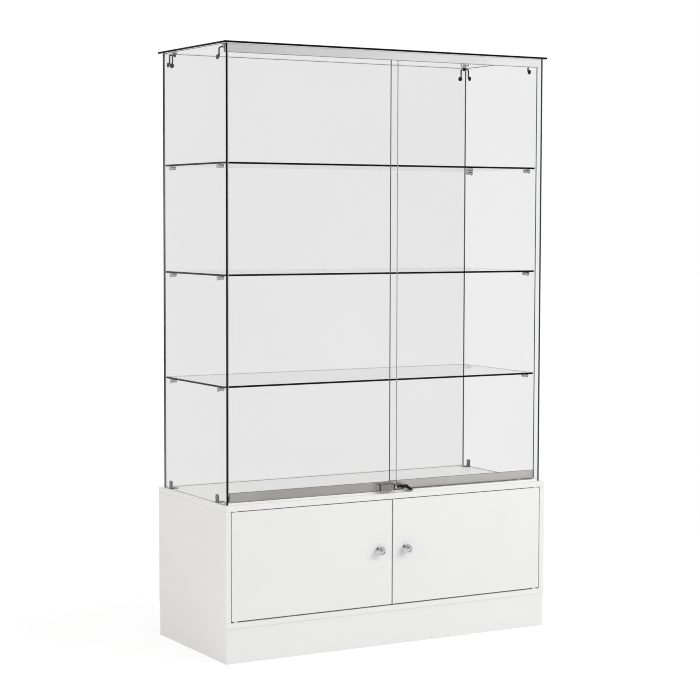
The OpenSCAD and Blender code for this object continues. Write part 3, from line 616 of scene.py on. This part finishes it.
knobShape = {
    "headRadius": 14.5,
    "footRadius": 13.5,
    "footDepth": 2.5,
    "neckRadius": 5.5,
    "reach": 25.0,
    "rimHeight": 18.0,
    "rimRadius": 4.0,
    "domeRadius": 7.2,
    "domeBase": 21.0,
    "flare": [(6.8, 11.4), (8.4, 13.0), (9.8, 14.0)],  # the head's underside
    "groove": [(8.9, 21.2), (8.3, 20.6), (7.9, 20.4), (7.5, 20.7)],  # round the dome
}


def knobRings():  # (radius, distance from the door)
    shape = knobShape
    foot = shape["footRadius"]
    neck = shape["neckRadius"]
    depth = shape["footDepth"]
    rings = [(foot - 0.4, 0), (foot, 0.4), (foot, depth - 0.7), (foot - 0.25, depth - 0.2),
             (foot - 0.8, depth), (foot - 2.6, depth + 0.5), (foot - 4.6, depth + 1.4),
             (neck + 1.6, depth + 2.6), (neck + 0.5, depth + 4.0), (neck, 8.0),
             (neck + 0.3, 9.6), *shape["flare"]]
    rimCentre = shape["headRadius"] - shape["rimRadius"]
    for degrees in range(-60, 106, 15):
        angle = math.radians(degrees)
        rings.append((rimCentre + shape["rimRadius"] * math.cos(angle),
                      shape["rimHeight"] + shape["rimRadius"] * math.sin(angle)))
    rings += shape["groove"]
    domeBase = shape["domeBase"]
    for degrees in range(90, -1, -12):
        angle = math.radians(max(degrees, 1.5))
        rings.append((shape["domeRadius"] * math.sin(angle),
                      domeBase + (shape["reach"] - domeBase) * math.cos(angle)))
    return rings


knob = turnOnLathe("knob_piece_right", knobRings(), 64)
knobLow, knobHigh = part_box("knob_right")
knobMiddle = (knobLow + knobHigh) / 2
aim(knob, (knobMiddle.x, knobHigh.y, knobMiddle.z), (0, -1, 0))
smoothen(knob, math.radians(40))
knobTwin = copyOf(knob, "knob_piece_left", (-2 * knobMiddle.x, 0, 0))
hand(knob, "cupboard_right", ["knob_right"], [chrome])
hand(knobTwin, "cupboard_left", ["knob_left"], [chrome])
print("knobs made")


# Shelf supports

supportShape = {
    "flangeRadius": 8.5,
    "flangeDepth": 2.0,
    "barrelRadius": 6.5,
    "length": 20.0,
    "grooveFrom": 15.6,
    "grooveTo": 17.0,
    "flatHeight": 4.55,  # the flat for the shelf's pad, above the barrel's middle
    "padDepth": 1.0,
}


def supportRings():
    shape = supportShape
    flange = shape["flangeRadius"]
    depth = shape["flangeDepth"]
    barrel = shape["barrelRadius"]
    start = shape["grooveFrom"]
    end = shape["grooveTo"]
    length = shape["length"]
    return [(flange, 0), (flange, depth - 0.5), (flange - 0.5, depth), (barrel + 0.4, depth),
            (barrel, depth + 0.6), (barrel, start), (barrel - 0.5, start + 0.4),
            (barrel - 0.5, end - 0.4), (barrel, end), (barrel, length - 1.0),
            (barrel - 0.3, length - 0.4), (barrel - 1.0, length)]


def makeSupports():
    first = aim(turnOnLathe("support_pattern", supportRings(), 40), (0, 0, 0), (-1, 0, 0))
    editAll()
    bpy.ops.mesh.bisect(
        plane_co=(0, 0, supportShape["flatHeight"] * mm), plane_no=(0, 0, 1),
        clear_outer=True, use_fill=True)
    leaveEdit()
    smoothen(first)
    lowEnd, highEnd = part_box("shelf_supports")
    middleDrop = (supportShape["flatHeight"] + supportShape["padDepth"]) * mm
    count = 0
    for shelf in ("shelf_lower", "shelf_middle", "shelf_upper"):
        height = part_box(shelf)[0].z - middleDrop
        for y in (lowEnd.y + supportShape["flangeRadius"] * mm,
                  highEnd.y - supportShape["flangeRadius"] * mm):
            for x, turn in ((lowEnd.x, math.pi), (highEnd.x, 0.0)):
                count += 1
                support = copyOf(first, f"support_{count:02d}", (x, y, height), turn)
                hand(support, "root", ["shelf_supports"], [satinChrome])
    bpy.data.objects.remove(first)


makeSupports()
print("shelf supports made")


# Rod connectors under the top pane

connectorShape = {
    "discRadius": 8.0,
    "discDepth": 3.0,
    "rodRadius": 2.5,
    "wallOff": 6.5,  # from a pane to the middle of its rod
    "drop": 38.0,  # from the top pane to the middle of a wall disc
    "frontReach": 26.0,
    "frontBend": 8.0,
    "rearReach": 25.0,
    "rearSideIn": 25.0,
    "rearArmDrop": 6.5,
    "frontArmDrop": 6.5,
    "smallBend": 3.2,
    "rodIn": 2.0,  # how deep a rod sits in its disc
    "stemIn": 0.2,
    "stem": [(2.5, 0), (2.5, 4), (3.4, 4.8), (4.0, 6.5), (4.2, 8.3), (4.0, 10), (3.2, 11.6),
             (1.6, 12.4), (0.2, 12.6)],
}


def discRings():
    radius = connectorShape["discRadius"]
    depth = connectorShape["discDepth"]
    return [(radius - 0.2, 0), (radius, 0.2), (radius, depth - 0.9), (radius - 0.25, depth - 0.4),
            (radius - 0.9, depth), (4.6, depth), (4.4, depth - 0.3), (4.0, depth - 0.3),
            (3.8, depth), (0.2, depth)]


def makeConnectors():
    shape = connectorShape
    discPattern = turnOnLathe("disc_pattern", discRings(), 40)
    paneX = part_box("glass_side_right")[0].x
    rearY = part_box("glass_back")[0].y
    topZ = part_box("glass_top")[0].z
    rodRadius = shape["rodRadius"] * mm
    wallOff = shape["wallOff"] * mm
    discZ = topZ - shape["drop"] * mm
    small = shape["smallBend"] * mm
    rodIn = shape["rodIn"] * mm

    def disc(centre, axis):
        return aim(copyOf(discPattern, "disc"), centre, axis)

    # front: out of the side disc, up, over and onto the top disc
    frontY = (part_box("connectors_front")[0].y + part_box("connectors_front")[1].y) / 2
    rodX = paneX - wallOff
    armZ = topZ - shape["frontArmDrop"] * mm
    bend = shape["frontBend"] * mm
    topX = paneX - shape["frontReach"] * mm
    rod = bendRod(
        "connector_front_right", (paneX - rodIn, frontY, discZ), (-1, 0, 0), rodRadius,
        [(-(wallOff - rodIn - small), 0, 0),
         ((rodX + small, frontY, discZ + small), (0, 1, 0), 90),
         (0, 0, armZ - bend - discZ - small),
         ((rodX - bend, frontY, armZ - bend), (0, 1, 0), -90),
         (topX + small - rodX + bend, 0, 0),
         ((topX + small, frontY, armZ + small), (0, 1, 0), 90),
         (0, 0, topZ - rodIn - armZ - small)])
    front = joinUp(rod, [disc((paneX, frontY, discZ), (-1, 0, 0)),
                         disc((topX, frontY, topZ), (0, 0, -1))])

    # rear: one rod from the side pane and one from the rear pane meet under a top disc
    sideY = rearY - shape["rearSideIn"] * mm
    backX = paneX - shape["rearReach"] * mm
    armZ = topZ - shape["rearArmDrop"] * mm
    sideRod = bendRod(
        "connector_rear_right", (paneX - rodIn, sideY, discZ), (-1, 0, 0), rodRadius,
        [(-(wallOff - rodIn - small), 0, 0),
         ((rodX + small, sideY, discZ + small), (0, 1, 0), 90),
         (0, 0, armZ - discZ - 2 * small),
         ((rodX - small, sideY, armZ - small), (0, 1, 0), -90),
         (backX - rodX + small, 0, 0)])
    rodY = rearY - wallOff
    backRod = bendRod(
        "back_rod", (backX, rearY - rodIn, discZ), (0, -1, 0), rodRadius,
        [(0, -(wallOff - rodIn - small), 0),
         ((backX, rodY + small, discZ + small), (1, 0, 0), -90),
         (0, 0, armZ - discZ - 2 * small),
         ((backX, rodY - small, armZ - small), (1, 0, 0), 90),
         (0, sideY - rodY + small, 0)])
    stem = turnOnLathe("stem", shape["stem"], 24)
    aim(stem, (backX, sideY, topZ - shape["stemIn"] * mm), (0, 0, -1))
    rear = joinUp(sideRod, [backRod, stem, disc((paneX, sideY, discZ), (-1, 0, 0)),
                            disc((backX, rearY, discZ), (0, -1, 0)),
                            disc((backX, sideY, topZ), (0, 0, -1))])
    for right, node in ((front, "connectors_front"), (rear, "connectors_rear")):
        left = mirroredCopy(right, right.name.replace("right", "left"))
        for piece in (right, left):
            smoothen(piece, math.radians(35))
            hand(piece, "root", [node], [darkChrome])
    bpy.data.objects.remove(discPattern)


makeConnectors()
print("connectors made")


# Angle brackets on the deck

bracketShape = {
    "width": 20.0,
    "height": 26.0,
    "foot": 24.0,
    "plate": 3.0,
    "corner": 5.0,
    "roundOff": 0.4,
    "screwIn": 14.4,  # from the pane to the screw
}
screwShape = {
    "shankRadius": 1.7,
    "shankLength": 14.0,
    "headRadius": 3.5,
    "headHeight": 1.6,
    "crossReach": 1.8,
    "crossHalf": 0.35,  # half the width of the cross recess
    "crossFloor": 0.5,
}


def makeScrewPattern():  # pan head with a cross recess, head's underside at z = 0
    shank = screwShape["shankRadius"]
    radius = screwShape["headRadius"]
    head = turnOnLathe(
        "screw_pattern",
        [(shank, -screwShape["shankLength"]), (shank, 0), (radius, 0), (radius, 0.5),
         (radius - 0.3, 1.0), (radius - 1.0, 1.35), (radius - 2.1, 1.55),
         (0.2, screwShape["headHeight"])], 24)
    reach = screwShape["crossReach"] * mm
    half = screwShape["crossHalf"] * mm
    floor = screwShape["crossFloor"] * mm
    above = 2 * screwShape["headHeight"] * mm
    cross = joinUp(addBlock("cross", (-reach, -half, floor), (reach, half, above)),
                   [addBlock("crossBar", (-half, -reach, floor), (half, reach, above))])
    takeUp(head)
    bpy.ops.object.modifier_add(type='BOOLEAN')
    cut = head.modifiers[-1]
    cut.operation = 'DIFFERENCE'
    cut.solver = 'EXACT'
    cut.use_self = True
    cut.object = cross
    bpy.ops.object.modifier_apply(modifier=cut.name)
    bpy.data.objects.remove(cross)
    return smoothen(head)


def makeBrackets():
    shape = bracketShape
    half = shape["width"] / 2 * mm
    plate = shape["plate"] * mm
    first = addBlock("bracket_pattern", (-shape["foot"] * mm, -half, 0), (0, half, plate))
    editAll()
    bpy.ops.mesh.bisect(plane_co=(-plate, 0, 0), plane_no=(1, 0, 0))
    leaveEdit()
    pickFaces(first, lambda face: face.normal.z > 0.9 and face.center.x > -plate)
    bpy.ops.mesh.extrude_region_move(
        TRANSFORM_OT_translate={"value": (0, 0, shape["height"] * mm - plate)})
    leaveEdit()

    def atCorner(a, b):
        along = (a - b).normalized()
        upright = abs(along.z) > 0.9 and max(a.x, b.x) < -shape["foot"] * mm + 0.1 * mm
        through = abs(along.x) > 0.9 and min(a.z, b.z) > shape["height"] * mm - 0.1 * mm
        return upright or through

    pickEdges(first, atCorner)
    bevelPicked(first, shape["corner"] * mm, 6)
    roundOff(first, shape["roundOff"] * mm, 2)
    lowEnd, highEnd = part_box("foot_brackets")
    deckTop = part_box("deck")[1].z
    count = 0
    for y in (lowEnd.y + half, highEnd.y - half):
        for x, turn, side in ((lowEnd.x, math.pi, -1), (highEnd.x, 0.0, 1)):
            count += 1
            bracket = copyOf(first, f"bracket_{count}", (x, y, deckTop), turn)
            hand(bracket, "root", ["foot_brackets"], [bracketSteel])
            screw = copyOf(
                screwPattern, f"bracket_screw_{count}",
                (x - side * shape["screwIn"] * mm, y, deckTop + plate), 0.4 + count)
            hand(screw, "root", ["bracket_screws"], [zincSteel])
    bpy.data.objects.remove(first)


screwPattern = makeScrewPattern()
makeBrackets()

trackLow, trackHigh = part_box("track_screw_set")
screwHead = screwShape["headRadius"] * mm
headHeight = screwShape["headHeight"] * mm
trackScrews = 5
for index in range(trackScrews):
    share = index / (trackScrews - 1)
    x = (trackLow.x + screwHead) * (1 - share) + (trackHigh.x - screwHead) * share
    trackScrew = copyOf(
        screwPattern, f"track_screw_{index + 1}",
        (x, (trackLow.y + trackHigh.y) / 2, trackHigh.z - headHeight), 0.7 * index)
    hand(trackScrew, "root", ["track_screw_set"], [zincSteel])
bpy.data.objects.remove(screwPattern)
print("brackets and screws made")


# Lock and key

lockShape = {
    "round": 3.0,
    "capRound": 3.4,
    "edge": 0.3,
    "headRadius": 8.7,
    "headLength": 6.0,
    "gripDroop": 36.0,
    "gripLength": 22.0,
    "gripWidth": 14.0,
    "gripDepth": 7.0,
    "gripInset": 2.4,  # width of the frame round the grip's hollow
    "gripHollow": 0.6,
    "tongueWidth": 4.0,
    "bodyHeight": 10.0,
    "shoulderRound": 2.5,
    "earRound": 4.9,
    "earPlay": 0.25,  # between the tongue and either ear
    "groove": 1.1,  # half the height of the milled groove in the blade
    "grooveDepth": 0.4,
}


def makeLockBar(name, low, high, radius):  # the two long front edges are rounded
    bar = addBlock(name, low, high)
    pickEdges(bar, lambda a, b: abs(a.x - b.x) > mm and max(a.y, b.y) < low.y + 0.1 * mm)
    bevelPicked(bar, radius, 6)
    return roundOff(bar, lockShape["edge"] * mm, 2)


barLow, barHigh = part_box("lock_housing")
housing = makeLockBar("lock_case", barLow, barHigh, lockShape["round"] * mm)
hand(housing, "outer_door", ["lock_housing"], [lockPaint])

capLow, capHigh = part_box("lock_end_caps")
capLength = barLow.x - capLow.x
for label, startX in (("left", capLow.x), ("right", capHigh.x - capLength)):
    cap = makeLockBar(
        "lock_cap_" + label, Vector((startX, capLow.y, capLow.z)),
        Vector((startX + capLength, capHigh.y, capHigh.z)), lockShape["capRound"] * mm)
    hand(cap, "outer_door", ["lock_end_caps"], [blackPlastic, trackSilver])
    for face in cap.data.polygons:  # a metal plate closes the left end
        face.material_index = 1 if face.normal.x < -0.9 else 0

barrelLow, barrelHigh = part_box("lock_barrel")
barrelMiddle = (barrelLow + barrelHigh) / 2
headRadius = lockShape["headRadius"]
headLength = lockShape["headLength"]
headRings = [(5.9, -5.0), (5.9, 0), (headRadius - 0.5, 0), (headRadius, 0.5), (headRadius, 2.4),
             (headRadius - 0.5, 2.8), (headRadius - 0.5, 3.4), (headRadius, 3.8),
             (headRadius, 5.0), (headRadius - 0.35, 5.6), (headRadius - 1.1, headLength),
             (6.4, headLength), (6.1, 5.6), (5.6, 5.6), (0.3, 5.6)]
barrel = turnOnLathe("lock_barrel_head", headRings, 48)
aim(barrel, (barrelHigh.x - headLength * mm, barrelMiddle.y, barrelMiddle.z), (1, 0, 0))
smoothen(barrel)
hand(barrel, "lock_cylinder", ["lock_barrel"], [chrome])

bladeLow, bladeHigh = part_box("key_blade")
blade = addBlock("key_blade_cut", bladeLow, bladeHigh)
bpy.ops.object.mode_set(mode='EDIT')
bladeMid = (bladeLow + bladeHigh) / 2
for side in (-1, 1):  # the milled groove's borders along the blade
    border = bladeMid.z + side * lockShape["groove"] * mm
    bpy.ops.mesh.select_all(action='SELECT')
    bpy.ops.mesh.bisect(plane_co=(0, 0, border), plane_no=(0, 0, 1))
leaveEdit()
pickFaces(blade, lambda face: abs(face.normal.y) > 0.9 and abs(face.center.z - bladeMid.z) < mm)
bpy.ops.mesh.inset(thickness=0.2 * mm, depth=-lockShape["grooveDepth"] * mm)
leaveEdit()
makeSound(blade)
roundOff(blade, 0.15 * mm, 1)
hand(blade, "lock_cylinder", ["key_blade"], [keyMetal])

bodyLow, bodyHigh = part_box("key_body")
keyMiddle = (bodyLow + bodyHigh) / 2
earGap = (lockShape["tongueWidth"] / 2 + lockShape["earPlay"]) * mm
foldX = bodyHigh.x - lockShape["bodyHeight"] / 2 * mm
earX = foldX - lockShape["bodyHeight"] / 2 * mm
keyBlock = addBlock("key_shoulder", bodyLow, (earX, bodyHigh.y, bodyHigh.z))
pickEdges(keyBlock, lambda a, b: max(a.x, b.x) < bodyLow.x + 0.1 * mm and abs(a.z - b.z) < 0.1 * mm)
bevelPicked(keyBlock, lockShape["shoulderRound"] * mm, 5)
roundOff(keyBlock, 0.5 * mm, 2)
ears = []
for side in (-1, 1):
    nearY = keyMiddle.y + side * earGap
    farY = bodyHigh.y if side > 0 else bodyLow.y
    ear = addBlock("key_ear", (earX - 0.5 * mm, min(nearY, farY), bodyLow.z),
                   (bodyHigh.x, max(nearY, farY), bodyHigh.z))
    pickEdges(ear, lambda a, b: min(a.x, b.x) > bodyHigh.x - 0.1 * mm and abs(a.y - b.y) > mm)
    bevelPicked(ear, lockShape["earRound"] * mm, 10)
    ears.append(roundOff(ear, lockShape["edge"] * mm, 2))
keyHead = joinUp(keyBlock, ears)
hand(keyHead, "lock_cylinder", ["key_body"], [blackPlastic])

tongue = lockShape["tongueWidth"] / 2 * mm
gripHalf = lockShape["gripWidth"] / 2 * mm
gripDepth = lockShape["gripDepth"] / 2 * mm
gripRound = gripDepth * 0.98  # nearly half round, so that a narrow flat is left
gripStart = (lockShape["bodyHeight"] / 2 + 0.8) * mm
neck = addBlock("grip_neck", (-gripDepth, -tongue, -gripDepth), (gripStart + mm, tongue, gripDepth))
pickEdges(neck, lambda a, b: max(a.x, b.x) < -gripDepth + 0.1 * mm and abs(a.y - b.y) > mm)
bevelPicked(neck, gripRound, 8)
roundOff(neck, 0.25 * mm, 2)
grip = addBlock("key_grip_folding", (gripStart, -gripHalf, -gripDepth),
                (lockShape["gripLength"] * mm, gripHalf, gripDepth))
pickEdges(grip, lambda a, b: min(a.x, b.x) > lockShape["gripLength"] * mm - 0.1 * mm
          and abs(a.y - b.y) > mm)
bevelPicked(grip, gripRound, 8)
pickFaces(grip, lambda face: abs(face.normal.z) > 0.99)
bpy.ops.mesh.inset(thickness=lockShape["gripInset"] * mm, depth=0)
bpy.ops.mesh.inset(thickness=0.5 * mm, depth=-lockShape["gripHollow"] * mm)
leaveEdit()
roundOff(grip, 0.5 * mm, 2)
joinUp(grip, [neck])
grip.matrix_world = (Matrix.Translation((foldX, keyMiddle.y, keyMiddle.z))
                     @ Matrix.Rotation(math.radians(lockShape["gripDroop"]), 4, 'Y'))
settle(grip)
hand(grip, "folding_grip", ["key_grip"], [blackPlastic])
print("lock and key made")


# Catches inside the base

catchShape = {
    "width": 45.0,
    "frame": 2.5,  # round the magnet's steel
    "step": 0.3,
    "sunk": 0.4,
    "roundOff": 0.4,
}
catchLow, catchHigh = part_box("magnetic_catches")
catchWidth = catchShape["width"] * mm
for label, startX in (("left", catchLow.x), ("right", catchHigh.x - catchWidth)):
    catch = addBlock("catch_" + label, (startX, catchLow.y, catchLow.z),
                     (startX + catchWidth, catchHigh.y, catchHigh.z))
    pickFaces(catch, lambda face: face.normal.y < -0.9)
    bpy.ops.mesh.inset(thickness=catchShape["frame"] * mm)
    bpy.ops.mesh.inset(thickness=catchShape["step"] * mm, depth=-catchShape["sunk"] * mm)
    leaveEdit()
    hand(catch, "root", ["magnetic_catches"], [whiteNylon, zincSteel])
    for face in catch.data.polygons:
        face.material_index = 1 if face.select else 0
    roundOff(catch, catchShape["roundOff"] * mm, 2)
print("catches made")


# Finishes on what stays as the frame gives it

def dress(material, *nodes):
    for node in nodes:
        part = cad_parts[node]
        if not part.data.materials:
            part.data.materials.append(material)
        for slot in part.material_slots:
            slot.material = material


dress(rawWood, "carcass_dowels")
dress(whiteNylon, "hinge_bushes", "outer_roller_left", "outer_roller_right",
      "inner_roller_left", "inner_roller_right")
dress(zincSteel, "door_pins_left", "door_pins_right", "knob_screw_left", "knob_screw_right",
      "strike_plate_left", "strike_plate_right", "outer_axles", "inner_axles", "key_pin",
      "lock_bolt")
dress(clearPad, "shelf_pads")
dress(trackSilver, "top_track")
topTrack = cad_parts["top_track"]
topTrack.data.materials.append(trackWeb)
for face in topTrack.data.polygons:
    if face.normal.z > 0.9:
        face.material_index = 1
dress(makeTrackPale(), "bottom_track")
dress(linerGrey, "top_track_liners")
dress(shoeMetal, "outer_shoe")
# the inner shoe's lighter copy is painted light
dress(shoePaintedLight, "inner_shoe")
dress(blackPlastic, "outer_shoe_caps", "inner_shoe_caps")
print("frame parts dressed")


# Floor, light and camera

stageLook = {
    "floorSize": 80.0,
    "floorTone": 0.8,
    "nearTone": 0.28,  # what of the floor's own shade shows beside the object
    "nearGlow": 0.76,
    "nearReach": 1.6,
    "farReach": 3.2,
    "roomLight": 0.56,
}
roomLook = {  # seen in shiny metal: heights are sines, bearings radians from the front
    "sideTone": (0.6, 1.25),
    "sideBearing": (0.44, 0.66),
    "ceilingTone": (1.0, 0.16),
    "ceilingHeight": (0.12, 0.24),
    "topTone": (0.0, 0.5),
    "topHeight": (0.8, 0.95),
    "boxFoot": (0.3, 0.34),
    "boxHead": (0.66, 0.7),
    "rightBox": ((0.25, 0.3), (1.0, 1.05)),
    "leftBox": ((-1.05, -1.0), (-0.6, -0.55)),
}


def backdropMask(tree):  # 1 where the camera looks, also by a mirror or through glass
    rays = addNode(tree, 'ShaderNodeLightPath')
    first = addNode(tree, 'ShaderNodeMath', operation='MAXIMUM')
    second = addNode(tree, 'ShaderNodeMath', operation='MAXIMUM')
    direct = addNode(tree, 'ShaderNodeMath', operation='LESS_THAN')
    direct.inputs[1].default_value = 0.5
    mask = addNode(tree, 'ShaderNodeMath', operation='MULTIPLY')
    link = tree.links.new
    link(rays.outputs['Is Camera Ray'], first.inputs[0])
    link(rays.outputs['Is Glossy Ray'], first.inputs[1])
    link(first.outputs['Value'], second.inputs[0])
    link(rays.outputs['Is Transmission Ray'], second.inputs[1])
    link(rays.outputs['Diffuse Depth'], direct.inputs[0])
    link(second.outputs['Value'], mask.inputs[0])
    link(direct.outputs['Value'], mask.inputs[1])
    return rays, mask.outputs['Value']


def mapRange(tree, source, fromMin, fromMax, toMin, toMax, kind='SMOOTHSTEP'):
    node = addNode(tree, 'ShaderNodeMapRange', interpolation_type=kind)
    tree.links.new(source, node.inputs['Value'])
    for label, value in (("From Min", fromMin), ("From Max", fromMax),
                         ("To Min", toMin), ("To Max", toMax)):
        node.inputs[label].default_value = value
    return node.outputs['Result']


def calculate(tree, operation, a, b):
    node = addNode(tree, 'ShaderNodeMath', operation=operation)
    for index, value in enumerate((a, b)):
        if isinstance(value, (int, float)):
            node.inputs[index].default_value = value
        else:
            tree.links.new(value, node.inputs[index])
    return node.outputs['Value']


def makeFloor():
    putDown()
    bpy.ops.mesh.primitive_plane_add(size=stageLook["floorSize"], location=(0, 0, 0))
    floor = nameLast("floor")
    material, tree, shader, place = startMaterial("floorWhite", Roughness=0.9)
    shader.inputs['Specular IOR Level'].default_value = 0.0
    mask = backdropMask(tree)[1]
    length = addNode(tree, 'ShaderNodeVectorMath', operation='LENGTH')
    tree.links.new(place, length.inputs[0])
    away = mapRange(tree, length.outputs['Value'],
                    stageLook["nearReach"], stageLook["farReach"], 0, 1)
    shownTone = mapRange(tree, away, 0, 1, stageLook["nearTone"], 0, 'LINEAR')
    shownGlow = mapRange(tree, away, 0, 1, stageLook["nearGlow"], 1.0, 'LINEAR')
    drop = calculate(tree, 'SUBTRACT', shownTone, stageLook["floorTone"])
    tone = calculate(tree, 'ADD', calculate(tree, 'MULTIPLY', drop, mask), stageLook["floorTone"])
    glow = calculate(tree, 'MULTIPLY', shownGlow, mask)
    tree.links.new(tone, shader.inputs['Base Color'])
    shader.inputs['Emission Color'].default_value = (1, 1, 1, 1)
    tree.links.new(glow, shader.inputs['Emission Strength'])
    material.cycles.emission_sampling = 'NONE'
    floor.data.materials.append(material)


def makeRoom():  # white behind the object, grey sides and two soft boxes for shiny metal
    world = bpy.data.worlds.new("room")
    bpy.context.scene.world = world
    world.use_nodes = True
    tree = world.node_tree
    shade = tree.nodes['Background']
    rays, mask = backdropMask(tree)
    direction = addNode(tree, 'ShaderNodeTexCoord').outputs['Generated']
    parts = addNode(tree, 'ShaderNodeSeparateXYZ')
    tree.links.new(direction, parts.inputs['Vector'])
    forward = calculate(tree, 'MULTIPLY', parts.outputs['Y'], -1.0)
    bearing = calculate(tree, 'ARCTAN2', parts.outputs['X'], forward)
    height = parts.outputs['Z']
    behind = mapRange(tree, parts.outputs['Y'], -0.05, 0.1, 0, 1)
    look = roomLook
    side = mapRange(tree, bearing, *look["sideBearing"], *look["sideTone"])
    ceiling = mapRange(tree, height, *look["ceilingHeight"], *look["ceilingTone"])
    top = mapRange(tree, height, *look["topHeight"], *look["topTone"])
    wall = calculate(tree, 'ADD', calculate(tree, 'MULTIPLY', side, ceiling), top)

    def between(source, rise, fall):  # 1 between the two, 0 outside
        return calculate(tree, 'MULTIPLY', mapRange(tree, source, *rise, 0, 1),
                         mapRange(tree, source, *fall, 1, 0))

    boxHeight = between(height, look["boxFoot"], look["boxHead"])
    boxRight = between(bearing, *look["rightBox"])
    boxLeft = between(bearing, *look["leftBox"])
    boxes = calculate(tree, 'MULTIPLY', calculate(tree, 'ADD', boxRight, boxLeft), boxHeight)
    front = calculate(tree, 'MULTIPLY', calculate(tree, 'MAXIMUM', wall, boxes),
                      calculate(tree, 'SUBTRACT', 1.0, behind))
    shiny = calculate(tree, 'ADD', front, behind)
    # shiny surfaces see the room, all else that looks out sees white
    shinyRay = rays.outputs['Is Glossy Ray']
    seen = calculate(tree, 'ADD', calculate(tree, 'MULTIPLY', shiny, shinyRay),
                     calculate(tree, 'SUBTRACT', 1.0, shinyRay))
    lit = calculate(tree, 'MULTIPLY', stageLook["roomLight"], calculate(tree, 'SUBTRACT', 1.0, mask))
    strength = calculate(tree, 'ADD', calculate(tree, 'MULTIPLY', seen, mask), lit)
    shade.inputs['Color'].default_value = (1, 1, 1, 1)
    tree.links.new(strength, shade.inputs['Strength'])


def addLamp(name, place, target, size, watts, tint=(1, 1, 1)):
    putDown()
    bpy.ops.object.light_add(type='AREA', location=place)
    lamp = bpy.context.active_object
    lamp.name = name
    lamp.data.shape = 'SQUARE'
    lamp.data.size = size
    lamp.data.energy = watts
    lamp.data.color = tint
    lamp.rotation_euler = (Vector(target) - Vector(place)).to_track_quat('-Z', 'Y').to_euler()
    lamp.visible_glossy = False  # the room's soft boxes stand for it in shiny metal
    lamp.visible_transmission = False
    lamp.visible_camera = False
    return lamp


makeFloor()
makeRoom()
addLamp("lampFrontRight", place=(3.6, -4.1, 3.6), target=(0, 0, 0.8), size=3.4, watts=193)
addLamp("lampFrontLeft", place=(-4.8, -1.18, 2.4), target=(0, 0, 0.8), size=2.6, watts=71,
        tint=(1.0, 0.962, 0.915))
addLamp("lampTop", place=(0.2, -0.4, 4.6), target=(0, 0, 0), size=3.0, watts=40)

cameraPlace = {
    "spot": (-3.16965, -5.48536, 1.38003),
    "turn": 29.83,
    "tilt": 3.94,
    "roll": 0.16,
    "lens": 98.23,
}
putDown()
bpy.ops.object.camera_add(location=cameraPlace["spot"])
camera = bpy.context.active_object
camera.name = "camera"
camera.data.lens = cameraPlace["lens"]
camera.data.sensor_width = 36.0
camera.data.clip_end = 200.0
camera.matrix_world = (
    Matrix.Translation(cameraPlace["spot"])
    @ Matrix.Rotation(math.radians(-cameraPlace["turn"]), 4, 'Z')
    @ Matrix.Rotation(math.radians(90 - cameraPlace["tilt"]), 4, 'X')
    @ Matrix.Rotation(math.radians(cameraPlace["roll"]), 4, 'Z'))
bpy.context.scene.camera = camera

scene = bpy.context.scene
scene.view_settings.view_transform = 'Standard'
scene.cycles.max_bounces = 24
scene.cycles.transmission_bounces = 24
scene.cycles.transparent_max_bounces = 40
scene.cycles.filter_width = 1.0  # thin glass edges stay crisp
print("stage, lamps and camera made")
